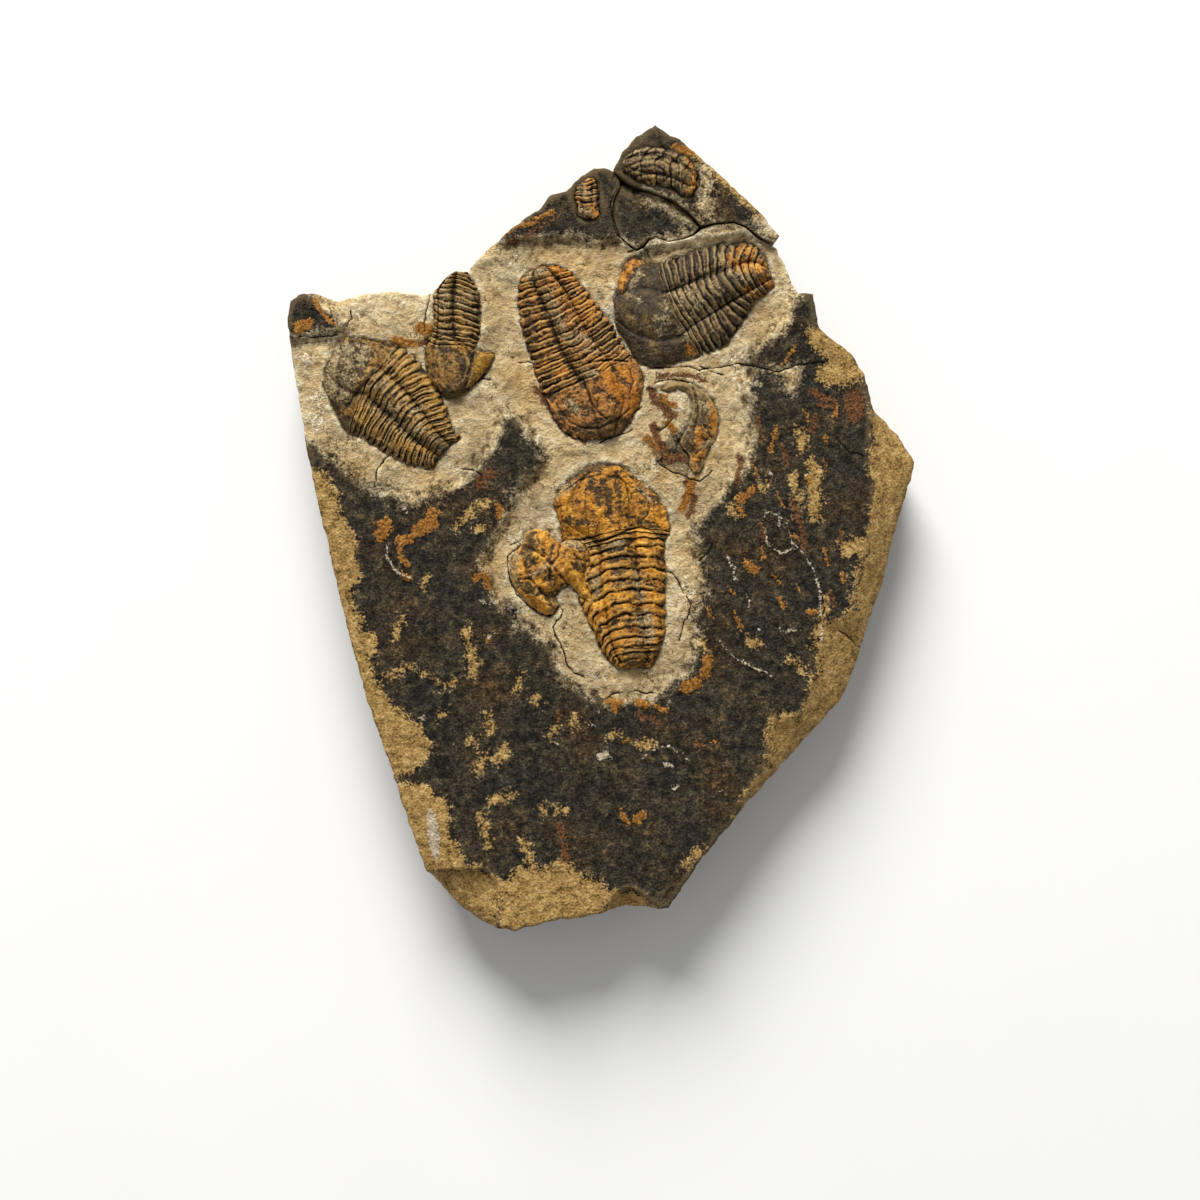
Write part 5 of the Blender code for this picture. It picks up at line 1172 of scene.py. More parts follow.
def shale_finish():
    """Split shale: a near black film with a dull sheen over pale, powdery rock."""
    # The clay grains of real shale are under 0.01 mm, too fine to show. The grain here is 0.45
    # mm, like the powder and crumbs of the cleared rock, with blotches of 1.7 and 8 mm over it.
    material, tree = new_finish("split_shale")
    place = add(tree, "ShaderNodeTexCoord", out="Object")
    fine = add(tree, "ShaderNodeTexNoise", {
        "Vector": place, "Scale": 1.0 / (0.45 * MM), "Detail": 3.0, "Roughness": 0.65})
    coarse = add(tree, "ShaderNodeTexNoise", {
        "Vector": place, "Scale": 1.0 / (1.7 * MM), "Detail": 6.0, "Roughness": 0.65})
    broad = add(tree, "ShaderNodeTexNoise", {
        "Vector": place, "Scale": 1.0 / (8.0 * MM), "Detail": 3.0, "Roughness": 0.5})
    tone = add(tree, "ShaderNodeAttribute", out="Fac", attribute_name="tone")

    mixed = add(tree, "ShaderNodeMix", {"Factor": 0.5, "A": coarse, "B": fine})
    film = add(tree, "ShaderNodeValToRGB", {"Fac": mixed}, stops=[
        (0.38, "#14120e"), (0.47, "#2c271e"), (0.56, "#4a4131"), (0.66, "#776748")])
    brown = add(tree, "ShaderNodeValToRGB", {"Fac": mixed}, stops=[
        (0.38, "#181007"), (0.47, "#3a2a16"), (0.55, "#5a4326"), (0.63, "#8c6a3c")])
    blue = add(tree, "ShaderNodeValToRGB", {"Fac": mixed}, stops=[
        (0.38, "#0b0d0d"), (0.48, "#191c1b"), (0.57, "#292b27"), (0.67, "#474438")])
    film = toned(tree, film, blue, brown, tone)
    specks = add(tree, "ShaderNodeMath", {0: broad, 1: 0.6, 2: coarse}, operation="MULTIPLY_ADD")
    specks = add(tree, "ShaderNodeMapRange", {"Value": specks, "From Min": 0.98,
                                              "From Max": 1.06})
    film = add(tree, "ShaderNodeMix", {"Factor": specks, "A": film, "B": "#7d6539"},
               data_type="RGBA")

    powder = add(tree, "ShaderNodeMix", {"Factor": 0.6, "A": broad, "B": mixed})
    bare = add(tree, "ShaderNodeValToRGB", {"Fac": powder}, stops=[
        (0.36, "#9a8158"), (0.45, "#b89d70"), (0.54, "#cbb386"), (0.63, "#e2d2aa")])
    warm = add(tree, "ShaderNodeValToRGB", {"Fac": powder}, stops=[
        (0.36, "#9c7b45"), (0.45, "#bd985c"), (0.54, "#d1af70"), (0.63, "#e2ca97")])
    grey = add(tree, "ShaderNodeValToRGB", {"Fac": powder}, stops=[
        (0.36, "#6b5e48"), (0.45, "#8f8062"), (0.54, "#a89777"), (0.63, "#c2b393")])
    bare = toned(tree, bare, grey, warm, tone)
    veins = hairlines(tree, place, 6.0, 0.010)
    bare = add(tree, "ShaderNodeMix", {"Factor": veins, "A": bare, "B": "#f0e6ca"},
               data_type="RGBA")
    rim = add(tree, "ShaderNodeValToRGB", {"Fac": mixed}, stops=[
        (0.36, "#4b3818"), (0.46, "#90713f"), (0.55, "#b69357"), (0.65, "#d3b57d")])
    flake = add(tree, "ShaderNodeValToRGB", {"Fac": fine}, stops=[
        (0.30, "#4a2c10"), (0.50, "#8f5c22"), (0.70, "#bd8f4a")])
    rust = add(tree, "ShaderNodeValToRGB", {"Fac": fine}, stops=[
        (0.30, "#2c190d"), (0.50, "#5f3c22"), (0.70, "#8a6440")])
    chalk = add(tree, "ShaderNodeValToRGB", {"Fac": fine}, stops=[
        (0.30, "#8c7a60"), (0.50, "#bba98d"), (0.70, "#dfd4bf")])
    # Layers of the broken sides, 0.4 mm thick. The real ones are thinner, too fine to show.
    side = add(tree, "ShaderNodeMapping", {"Vector": place, "Scale": (0.3, 0.3, 2.5)})
    side = add(tree, "ShaderNodeTexNoise", {
        "Vector": side, "Scale": 1.0 / MM, "Detail": 5.0, "Roughness": 0.6})
    side = add(tree, "ShaderNodeMix", {"Factor": 0.45, "A": side, "B": mixed})
    side = add(tree, "ShaderNodeValToRGB", {"Fac": side}, stops=[
        (0.36, "#3f3320"), (0.45, "#6b583a"), (0.54, "#8c7650"), (0.64, "#b09a70")])

    # Painted shade in the hollows of the film, and a lighter tan on its crests that is part painted
    # highlight, part rubbing
    dark = shade_grime_and_highlight(tree, film, "#0f0b07", 0.14, "#6b5a3e", 0.20, 0.6)
    dark = laid_over(tree, dark, rim, "rim", mixed, 1.2, 0.9)
    # Painted shade and grime in the hollows of the cleared rock, and a painted highlight with
    # rubbing on its crests
    pale = shade_grime_and_highlight(tree, bare, "#56422a", 0.22, "#eadfbd", 0.18, 0.5)
    lines = hairlines(tree, place, 3.5, 0.012)
    pale = add(tree, "ShaderNodeMix", {"Factor": lines, "A": pale, "B": "#38260f"},
               data_type="RGBA")
    colour = laid_over(tree, dark, pale, "bare", mixed, 1.3, 2.6)
    colour = laid_over(tree, colour, rust, "rust", fine, 0.35, 0.3)
    colour = laid_over(tree, colour, flake, "flake", fine, 0.25, 0.2)
    colour = laid_over(tree, colour, chalk, "chalk", fine, 0.2, 0.2)
    # A dark, uneven band round each fossil: painted shade where the rock meets the shell, and a
    # brown stain
    colour = laid_over(tree, colour, "#38281a", "contact", fine, 0.3, 0.7)
    colour = laid_over(tree, colour, "#1a110a", "crack", fine, 0.08, 0.12)
    colour = laid_over(tree, colour, side, "broken", fine, 0.3, 0.3)
    height = add(tree, "ShaderNodeMath", {0: coarse, 1: 1.5, 2: fine}, operation="MULTIPLY_ADD")
    bump = add(tree, "ShaderNodeBump", {"Height": height, "Strength": 0.9, "Distance": 0.5 * MM})
    shader = add(tree, "ShaderNodeBsdfPrincipled", {
        "Base Color": colour, "Roughness": 0.55, "IOR": 1.5, "Specular IOR Level": 0.10,
        "Normal": bump})
    add(tree, "ShaderNodeOutputMaterial", {"Surface": shader})
    return material


# What is left of a shell, the mould under it and fresh shell, each from dark to light, and
# the lighter crests of the ribs: a painted highlight with some rubbing
SHELL_COLOURS = {
    "orange_fossil": (("#6e4414", "#a36b22", "#c68d38"), ("#2a1c0f", "#553f20", "#80622f"),
                      ("#8f5814", "#bf8024", "#dfa640"), "#cc9f54"),
    "brown_fossil": (("#653c16", "#96602a", "#bd8c4b"), ("#251a0e", "#503a1e", "#7c5b30"),
                     ("#7d4510", "#ab6a1c", "#cc8f38"), "#c79b5c"),
    "dark_fossil": (("#1a150e", "#3a3123", "#66543a"), ("#2b2114", "#5a472a", "#8f7444"),
                    ("#6d3f10", "#a2651c", "#ca9440"), "#a88c5c"),
    "khaki_fossil": (("#523813", "#815d28", "#a58248"), ("#2a1f10", "#523f23", "#7a6238"),
                     ("#6f4d14", "#966c22", "#b68839"), "#bb9c66"),
}


def shell_finish(name):
    """Iron-stained shell: satin, gone in places to a dull dark mould, with painted shade in its
    grooves and hollows and a painted highlight on its crests.
    """
    # The real shell's pits are under 0.1 mm, too fine to show, and are drawn 0.5 mm apart. The
    # blotches where it is stained or flaked off are about 1.5 mm.
    material, tree = new_finish(name + "_shell")
    place = add(tree, "ShaderNodeTexCoord", out="Object")
    fine = add(tree, "ShaderNodeTexNoise", {
        "Vector": place, "Scale": 1.0 / (0.5 * MM), "Detail": 3.0, "Roughness": 0.65})
    coarse = add(tree, "ShaderNodeTexNoise", {
        "Vector": place, "Scale": 1.0 / (1.5 * MM), "Detail": 6.0, "Roughness": 0.65})
    shades = add(tree, "ShaderNodeAttribute", out="Fac", attribute_name="streak")
    grain = add(tree, "ShaderNodeMix", {"Factor": 0.45, "A": coarse, "B": fine})
    shades = add(tree, "ShaderNodeMath", {0: shades, 1: 0.22, 2: grain}, operation="MULTIPLY_ADD")
    *colours, crest = SHELL_COLOURS[name]
    shell, mould, fresh = (
        add(tree, "ShaderNodeValToRGB", {"Fac": shades}, stops=list(zip((0.38, 0.50, 0.62), c)))
        for c in colours)
    crust = add(tree, "ShaderNodeValToRGB", {"Fac": fine}, stops=[
        (0.28, "#4f402b"), (0.50, "#8f7a56"), (0.70, "#c0af86")])
    colour = laid_over(tree, mould, shell, "shell", grain, 0.9, 0.5)
    colour = laid_over(tree, colour, fresh, "bright", grain, 0.9, 1.0)
    colour = laid_over(tree, colour, crust, "pale", grain, 0.9, 1.0)
    lines = hairlines(tree, place, 2.2, 0.014)
    colour = add(tree, "ShaderNodeMix", {"Factor": lines, "A": colour, "B": "#1a1008"},
                 data_type="RGBA")
    # Painted shade in the grooves between the ribs, in the furrows beside the raised middle, along
    # the cut lines and on the hidden sides
    groove = add(tree, "ShaderNodeAttribute", out="Fac", attribute_name="groove")
    groove = add(tree, "ShaderNodeMapRange", {"Value": groove, "From Min": 0.25,
                                              "From Max": 1.1, "To Max": 0.6})
    colour = add(tree, "ShaderNodeMix", {"Factor": groove, "A": colour, "B": "#26180b"},
                 data_type="RGBA")
    # Painted shade and grime in the hollows, and a painted highlight with rubbing on the crests
    colour = shade_grime_and_highlight(tree, colour, "#1f1409", 0.17, crest, 0.15, 0.6)
    height = add(tree, "ShaderNodeMath", {0: coarse, 1: 1.5, 2: fine}, operation="MULTIPLY_ADD")
    bump = add(tree, "ShaderNodeBump", {"Height": height, "Strength": 0.8, "Distance": 0.4 * MM})
    shader = add(tree, "ShaderNodeBsdfPrincipled", {
        "Base Color": colour, "Roughness": 0.42, "IOR": 1.5, "Specular IOR Level": 0.18,
        "Normal": bump})
    add(tree, "ShaderNodeOutputMaterial", {"Surface": shader})
    return material


# Stone
def stone_marks(x, y, fossils):
    """Depths in mm inside each kind of mark, and the tone of the ground: above zero for warm
    rock or brown film, below zero for grey rock or blue film."""
    far_x, far_y = warped(x, y, 1.6, 6.0, 3.0)
    far_x, far_y = warped(far_x, far_y, 0.7, 1.7, 8.0)
    near_x, near_y = warped(x, y, 0.6, 1.4, 21.0)
    bare = depth_inside(far_x, far_y, CLEARED_OUTLINE)
    for island in FILM_ISLANDS:
        bare = np.minimum(bare, -depth_inside(near_x, near_y, island))
    for patch in BARE_PATCHES:
        bare = np.maximum(bare, depth_inside(near_x, near_y, patch))
    rim = reduce(np.maximum, (depth_inside(far_x, far_y, o) for o in OLIVE_OUTLINES))
    rim = np.maximum(rim, marks_depth(near_x, near_y, OLIVE_STREAKS))
    tone = np.where(
        bare > 0.0,
        smooth_step(marks_depth(x, y, WARM_GROUND) / 5.0 + 0.6)
        - smooth_step(marks_depth(x, y, GREY_GROUND) / 4.0 + 0.6),
        smooth_step(marks_depth(x, y, BROWN_FILM) / 6.0 + 0.5)
        - smooth_step(marks_depth(x, y, BLUE_FILM) / 6.0 + 0.5))
    contact = reduce(np.maximum, (depth_inside(x, y, FOSSIL_OUTLINES[f]) for f in fossils),
                     np.full(x.shape, -REACH))
    ridge = RIDGE_HALF - reduce(np.minimum, (line_distance(x, y, r) for r in RIDGE_LINES))
    chalky_ridge = ridge - 0.10 + 0.24 * lumps(x, y, 2.4, 45.0)
    return {
        "bare": bare,
        "rim": rim,
        "flake": marks_depth(near_x, near_y, ORANGE_FLAKES),
        "rust": marks_depth(near_x, near_y, RUST_PATCHES),
        "chalk": reduce(np.maximum, (marks_depth(near_x, near_y, WHITE_SPECKS) - SPECK_EDGE,
                                     depth_inside(x, y, WHITE_LENS), chalky_ridge)),
        "crack": (CRACK_HALF * (1.0 + lumps(x, y, 2.0, 41.0, 2))
                  - reduce(np.minimum, (line_distance(x, y, c) for c in CRACK_LINES))),
        "ridge": ridge,
        # The dark band round the fossils is painted shade where rock meets shell, with a brown stain
        "contact": contact - 0.1 + 0.6 * lumps(x, y, 2.4, 35.0),
        "tone": tone + 0.8 * lumps(x, y, 9.0, 31.0),
    }


def stone_relief(x, y, marks):
    """Fine relief of the bedding face, over its base level."""
    bare = smooth_step(marks["bare"] / 1.5 + 0.5)
    z = 0.12 * lumps(x, y, 7.0, 14.0)
    for size, height, seed, share in ((12.0, 0.12, 13.0, 1.0), (3.6, 0.13, 33.0, bare)):
        steps = 2.5 * lumps(x, y, size, seed, 4)
        z += share * height * (np.floor(steps) + smooth_step((steps - np.floor(steps)) / 0.15))
    film = 0.10 * lumps(x, y, 1.0, 12.0, 2) + 0.08 * lumps(x, y, 3.0, 43.0)
    rough = 0.18 * lumps(x, y, 2.8, 15.0) + 0.07 * lumps(x, y, 0.9, 16.0, 2)
    pits = smooth_step((lumps(x, y, 1.1, 19.0, 2) - 0.55) / 0.2)
    z += (1.0 - bare) * film + bare * (rough - 0.15 * pits)
    z += FLAKE_RISE * smooth_step(marks["flake"] / 0.25 + 0.5)
    z += SPECK_RISE * smooth_step(marks["chalk"] / 0.25 + 0.5)
    z += RIDGE_RISE * smooth_step(marks["ridge"] / 0.5 + 1.0)
    return z - CRACK_DEPTH * smooth_step(marks["crack"] / 0.2 + 0.5)


def under_fossils(x, y, names):
    """How far the rock dips along and under the fossils."""
    dip = np.zeros(x.shape)
    uneven = lumps(x, y, 2.2, 37.0, 2)
    for name in names:
        depth = depth_inside(x, y, FOSSIL_OUTLINES[name])
        trench = np.clip(0.35 + 0.5 * uneven, 0.0, 0.6) * np.exp(-(depth / 0.35) ** 2)
        covered = 0.25 + 0.6 * np.clip(-uneven, 0.0, 1.0)
        dip = np.maximum(dip, trench + BURIED_DEPTH * smooth_step((depth - covered) / 0.7))
    return dip


def in_fine_relief(x, y, fossils):
    """Where a bedding face has fine forms: cleared rock and flakes that no fossil covers."""
    marks = stone_marks(x, y, fossils)
    near = np.maximum(marks["bare"], 3.0 * marks["flake"]) + 1.5
    return (near > 0.0) & (marks["contact"] < 1.8)


def placed_grains(rim, spacing, fossils):
    """Places for the points of a bedding face: close together in fine relief and along the
    cracks and ridges, and further apart in the film."""
    x, y = scattered(rim, spacing, 1)
    far_x, far_y = scattered(rim, 1.55 * spacing, 2)
    close = in_fine_relief(x, y, fossils)
    apart = ~in_fine_relief(far_x, far_y, fossils)
    x, y = np.concatenate([x[close], far_x[apart]]), np.concatenate([y[close], far_y[apart]])
    away = reduce(np.minimum, (line_distance(x, y, line) for line in FINE_LINES))
    rows = [np.stack([x, y])[:, away > 1.5 * CRACK_SIDE]]
    for line in FINE_LINES:
        line = np.array(resampled([tuple(p) for p in line], 0.25, closed=False))
        side = ring_normals(line, 1) * CRACK_SIDE
        side[0] = side[1]
        side[-1] = side[-2]
        rows += [row.T for row in (line, line + side, line - side)]
    x, y = np.concatenate(rows, axis=1)
    kept = depth_inside(x, y, rim) > 0.3 * spacing
    return x[kept], y[kept]


def stone_piece(node, outline, base, fossils, neighbours, settings):
    """A broken piece of shale with rough, layered sides and its bedding face in relief."""
    spacing = settings.grain_spacing / MM
    rim = resampled(outline, 1.8 * spacing)
    x, y = np.array(rim).T

    def free_at(px, py):
        """1 at a broken edge, 0 at a joint with another piece."""
        return reduce(np.minimum, (smooth_step((-depth_inside(px, py, FRAGMENTS[other]) - 0.9) / 2.5)
                                   for other in neighbours))

    free = free_at(x, y)
    normals = ring_normals(rim, 5)
    inward = free * (0.2 + 0.5 * np.abs(lumps(x, y, 3.0, 2.0))) - 0.22 * (1.0 - free)
    rim = [tuple(p) for p in np.array(rim) + normals * inward[:, None]]
    inside_x, inside_y = placed_grains(rim, spacing, fossils)

    def top_height(px, py):
        marks = stone_marks(px, py, fossils)
        edge_depth = np.maximum(depth_inside(px, py, rim), 0.0)
        rounding = 0.5 * np.exp(-edge_depth / 0.5) * (0.6 + 0.5 * lumps(px, py, 2.0, 23.0))
        return (base(px, py) + stone_relief(px, py, marks) - under_fossils(px, py, fossils)
                - rounding * (0.3 + 0.7 * free_at(px, py)))

    rim_x, rim_y = np.array(rim).T
    rim_z = top_height(rim_x, rim_y)
    rings = []
    levels = np.linspace(1.0, 0.0, settings.side_layers)[1:]
    for share in levels:
        z = rim_z * share
        depth = np.interp(share, [0.0, 0.12, 0.3, 0.6, 1.0], [REST_INSET, 1.3, 0.7, 0.25, 0.0])
        spread = 0.9 * np.abs(lumps(x, y, 5.0, 6.0 + 2.0 * round(share * 3.0)))
        layer = 0.35 * lumps(x * 0.15 + share * 9.0, y * 0.15, 0.9, 3.0)
        rough = 0.25 * lumps(x + z, y - z, 1.1, 27.0)
        offset = free * np.maximum(depth + spread + layer + rough, 0.0)
        ring = np.array(rim) + normals * offset[:, None]
        rings.append(np.column_stack([ring, z]))
    points, faces, top_count = closed_relief(
        rim, (inside_x, inside_y), top_height, rings, settings.base_spacing / MM)
    attributes = stone_marks(points[:, 0], points[:, 1], fossils)
    del attributes["ridge"]
    broken = np.full(len(points), 3.0)
    broken[:top_count] = -1.0 - np.maximum(depth_inside(*points[:top_count, :2].T, rim), 0.0)
    hollow = hollows(faces, points[:, 2], 6)
    hollow[top_count:] = 0.0
    attributes.update(broken=broken, hollow=hollow)
    return make_piece(node + "_rock", points, faces, attributes, bpy.data.materials["split_shale"],
                      node, "shale")


FRAGMENTS = {"matrix_slab": SLAB_OUTLINE, "corner_fragment": CORNER_OUTLINE,
             "wedge_fragment": WEDGE_OUTLINE}


# Fossils
def shell_state(x, y, u, v, ribbed, fossil):
    """How much shell is left at each place, in about mm, and depths inside its marks."""
    bright = marks_depth(x, y, fossil["bright"])
    dark = marks_depth(x, y, fossil["dark"])
    streak = ribbed * lumps(0.2 * u, v, 0.4, 42.0, 2)
    shell = 0.9 * lumps(u, v, 1.5, 41.0, 4) + 0.4 * streak + fossil["shell"]
    shell += 0.9 * smooth_step(bright / 1.2 + 0.5) - 1.3 * smooth_step(dark / 1.2 + 0.5)
    return {"shell": shell, "bright": bright, "pale": marks_depth(x, y, fossil["pale"]),
            "streak": streak}


def crumbs(x, y, state):
    """Fine relief of a shell: worn lumps, and a step where the shell is gone."""
    return (0.08 * lumps(x, y, 1.2, 43.0) + 0.05 * lumps(x, y, 0.5, 44.0, 2)
            + 0.12 * smooth_step(state["shell"] / 0.3 + 0.5))


def dipped(name, x, y, z):
    """Heights, sunk where another fossil lies on this one."""
    if name not in OVERLAPS:
        return z
    return z - under_fossils(x, y, [OVERLAPS[name]])


def ribbed_fossil(name, fossil, rock, settings):
    """A trilobite: domed head, ribbed thorax with a raised middle, and a small tail."""
    stations = fossil["stations"]
    spacing = settings.row_spacing / MM
    middles = np.array([[(s[1][0] + s[2][0]) / 2, (s[1][1] + s[2][1]) / 2] for s in stations])
    length = np.linalg.norm(np.diff(middles, axis=0), axis=1).sum()
    width = max(math.dist(s[0], s[3]) for s in stations)
    rows, columns = round(length / spacing), round(width / spacing / 1.15)
    last = len(stations) - 1.0
    t, c = np.meshgrid(np.linspace(0.0, last, rows), np.linspace(-1.0, 1.0, columns),
                       indexing="ij")
    t, c = t.ravel(), c.ravel()
    x, y = body_places(stations, t, c)
    pitch = length / last * (fossil["tail"] - fossil["head"]) / fossil["ribs"]

    out = np.clip((np.abs(c) - FURROW) / (1.0 - FURROW), 0.0, 1.0)
    across = np.minimum(np.abs(c) / FURROW, 1.0)
    rib = fossil["ribs"] * (t - fossil["head"]) / (fossil["tail"] - fossil["head"])
    rib = rib - np.where(c < 0.0, *fossil["bow"]) * out ** 2 + 0.3 * (1.0 - across ** 2)
    rib = rib + 0.22 * lumps(x, y, 2.6, 51.0, 3) + 0.08 * np.sign(c) * (out > 0.0)
    in_thorax = smooth_step(rib * 3.0 + 1.0)
    fading = 1.0 - 0.6 * smooth_step((rib - fossil["ribs"]) / 2.0)
    strength = in_thorax * fading * np.clip(0.9 + 1.2 * lumps(x, y, 2.4, 53.0, 3), 0.15, 1.3)
    from_groove = np.abs(rib - np.round(rib)) * pitch
    groove = np.exp(-(from_groove / GROOVE_HALF) ** 2) * strength
    halves = np.abs(rib - np.floor(rib) - 0.45) * pitch
    pleural = np.exp(-(halves / FINE_GROOVE_HALF) ** 2) * strength
    pleural *= smooth_step(out * 8.0) * (1.0 - out ** 4)
    furrow = np.exp(-((np.abs(c) - FURROW) / FURROW_SPREAD) ** 2) * in_thorax
    saw = (rib - np.floor(rib) - 0.5) * in_thorax * fading

    teeth = fossil["teeth"] * smooth_step((np.abs(c) - 0.8) / 0.2) * in_thorax
    teeth = teeth * (0.6 - 1.6 * np.exp(-(from_groove / 0.3) ** 2))
    inner_x, inner_y = body_places(stations, t, c * 0.9)
    reach = np.maximum(np.hypot(x - inner_x, y - inner_y), 1e-6)
    side_x, side_y = (x - inner_x) / reach, (y - inner_y) / reach
    x, y = x + side_x * teeth, y + side_y * teeth
    border = smooth_step((np.abs(c) - 0.75) / 0.25)
    border = np.maximum(border, smooth_step(1.0 - np.minimum(t, last - t) / 0.8))
    ragged_x, ragged_y = warped(x, y, 0.35, 1.6, 71.0)
    x, y = x + (ragged_x - x) * border, y + (ragged_y - y) * border

    in_head = smooth_step((fossil["head"] - t) / 0.6 + 0.5)
    peak = 0.3
    slope = np.where(out > peak, (out - peak) / (1.0 - peak), 0.62 * (peak - out) / peak)
    thorax = np.where(np.abs(c) > FURROW, 0.62 * (1.0 - slope ** 2),
                      0.38 + 0.62 * (1.0 - across ** 2.2))
    head = 0.55 * (1.0 - out ** 2) + 0.45 * (1.0 - across ** 2)
    head -= 0.08 * np.exp(-((np.abs(c) - FURROW) / 0.06) ** 2)
    head += 0.06 * lumps(x, y, 3.0, 73.0)
    ends = np.sqrt(np.maximum(0.0, 1.0 - (1.0 - np.minimum(t / 1.6, 1.0)) ** 2))
    ends *= np.sqrt(np.maximum(0.0, 1.0 - (1.0 - np.minimum((last - t) / 1.4, 1.0)) ** 2))
    form = fossil["rise"] * (0.1 + (thorax + (head - thorax) * in_head) * ends)
    cut = groove + fossil["fine"] * pleural
    form += (settings.saw_height / MM * saw - settings.groove_depth / MM * cut) * (0.3 + 0.7 * ends)
    for depth, line in fossil["lines"]:
        line = wandering(line, 0.4, 0.15, 57.0)
        near = np.exp(-(line_distance(x, y, line) / LINE_HALF) ** 2)
        form -= depth * near
        groove = np.maximum(groove, near * min(1.0, 3.0 * depth))
    # The furrow values darken only the colour, as painted shade beside the raised middle; the finish
    # darkens the groove mark they join
    groove = np.maximum(groove, np.maximum(fossil["fine"] * pleural, 0.5 * furrow))
    state = shell_state(x, y, c * width / 4.0, rib * pitch * 0.9, in_thorax, fossil)
    z = dipped(name, x, y, rock(x, y) + form + crumbs(x, y, state))

    # The border again, twice further down, and one face under it that the rock hides
    number = np.arange(rows * columns).reshape(rows, columns)
    faces = list(zip(number[:-1, :-1].ravel(), number[:-1, 1:].ravel(), number[1:, 1:].ravel(),
                     number[1:, :-1].ravel()))
    border = np.concatenate([number[0, :], number[1:, -1], number[-1, -2::-1],
                             number[-2:0:-1, 0]])
    points = [np.column_stack([x, y, z])]
    upper, total = list(border), rows * columns
    for drop in SKIRT_DROPS:
        lower = list(range(total, total + len(border)))
        points.append(np.column_stack([x[border], y[border], z[border] - drop]))
        faces += list(zip(upper, upper[1:] + upper[:1], lower[1:] + lower[:1], lower))
        upper, total = lower, total + len(border)
    faces.append(tuple(reversed(upper)))
    skirt = np.tile(border, 2)
    attributes = {key: np.concatenate([v, v[skirt]]) for key, v in state.items()}
    hollow = hollows(faces[:(rows - 1) * (columns - 1)], z, 5)
    # The hidden sides below the border get full painted shade
    attributes["hollow"] = np.concatenate([hollow, np.full(len(skirt), -0.2)])
    attributes["groove"] = np.concatenate([groove, np.full(len(skirt), 1.0)])
    points = np.concatenate(points)
    a, b, d = points[number[0, 0]], points[number[0, 1]], points[number[1, 0]]
    if np.cross(b[:2] - a[:2], d[:2] - a[:2]) < 0.0:
        faces = [tuple(reversed(f)) for f in faces]
    finish = fossil["finish"]
    return make_piece(name + "_shell", points, faces, attributes,
                      bpy.data.materials[finish + "_shell"], name, finish)


def broken_fossil(name, fossil, rock, settings):
    """A fossil too broken for ribs: a low, crumbled dome."""
    spacing = settings.row_spacing / MM * 1.3
    outline = fossil["outline"]
    rim = resampled(outline, spacing)
    x, y = np.array(rim).T
    wander = ring_normals(rim, 3) * (0.12 + 0.2 * lumps(x, y, 1.4, 61.0))[:, None]
    rim = [tuple(p) for p in np.array(rim) + wander]

    def state_at(px, py):
        return shell_state(px, py, px, py, 0.0, fossil)

    def top_height(px, py):
        depth = np.maximum(depth_inside(px, py, outline), 0.0)
        dome = fossil["rise"] * (1.0 - np.exp(-depth / 1.6))
        lump = fossil["lump"] * lumps(px, py, 2.2, 2.0, 4) * np.minimum(depth, 1.0)
        z = rock(px, py) + 0.25 + dome + lump + crumbs(px, py, state_at(px, py))
        for cut, line in fossil["lines"]:
            line = wandering(line, 0.4, 0.15, 57.0)
            z -= cut * np.exp(-(line_distance(px, py, line) / BROKEN_LINE_HALF) ** 2)
        return z

    rim_x, rim_y = np.array(rim).T
    rim_z = top_height(rim_x, rim_y)
    upper, lower = BROKEN_SKIRT_DROPS
    rings = [np.column_stack([rim_x, rim_y, rim_z - upper]),
             np.column_stack([rim_x, rim_y, np.full(len(rim), rim_z.min() - lower)])]
    points, faces, top_count = closed_relief(rim, scattered(rim, spacing, 3), top_height, rings, 2.0)
    attributes = state_at(points[:, 0], points[:, 1])
    hollow = hollows(faces, points[:, 2], 5)
    # The sides under the rim get full painted shade
    hollow[top_count:] = -0.2
    attributes["hollow"] = hollow
    attributes["groove"] = np.concatenate([np.zeros(top_count), np.ones(len(points) - top_count)])
    finish = fossil["finish"]
    return make_piece(name + "_shell", points, faces, attributes,
                      bpy.data.materials[finish + "_shell"], name, finish)


# Settings
class StoneSettings(bpy.types.PropertyGroup):
    grain_spacing: bpy.props.FloatProperty(
        name="Grain spacing", description="Distance between the points of the cleared rock",
        default=0.34 * MM, unit="LENGTH", precision=5)
    base_spacing: bpy.props.FloatProperty(
        name="Base spacing", description="Distance between the points of the rest face",
        default=3.0 * MM, unit="LENGTH", precision=5)
    side_layers: bpy.props.IntProperty(
        name="Side layers", description="Rings of points down the broken sides", default=18)


class ShellSettings(bpy.types.PropertyGroup):
    row_spacing: bpy.props.FloatProperty(
        name="Row spacing", description="Distance between the points of a shell",
        default=0.17 * MM, unit="LENGTH", precision=5)
    groove_depth: bpy.props.FloatProperty(
        name="Groove depth", description="Depth of the grooves between the ribs",
        default=0.5 * MM, unit="LENGTH", precision=5)
    saw_height: bpy.props.FloatProperty(
        name="Rib overlap", description="How far each rib stands over the next one",
        default=0.3 * MM, unit="LENGTH", precision=5)


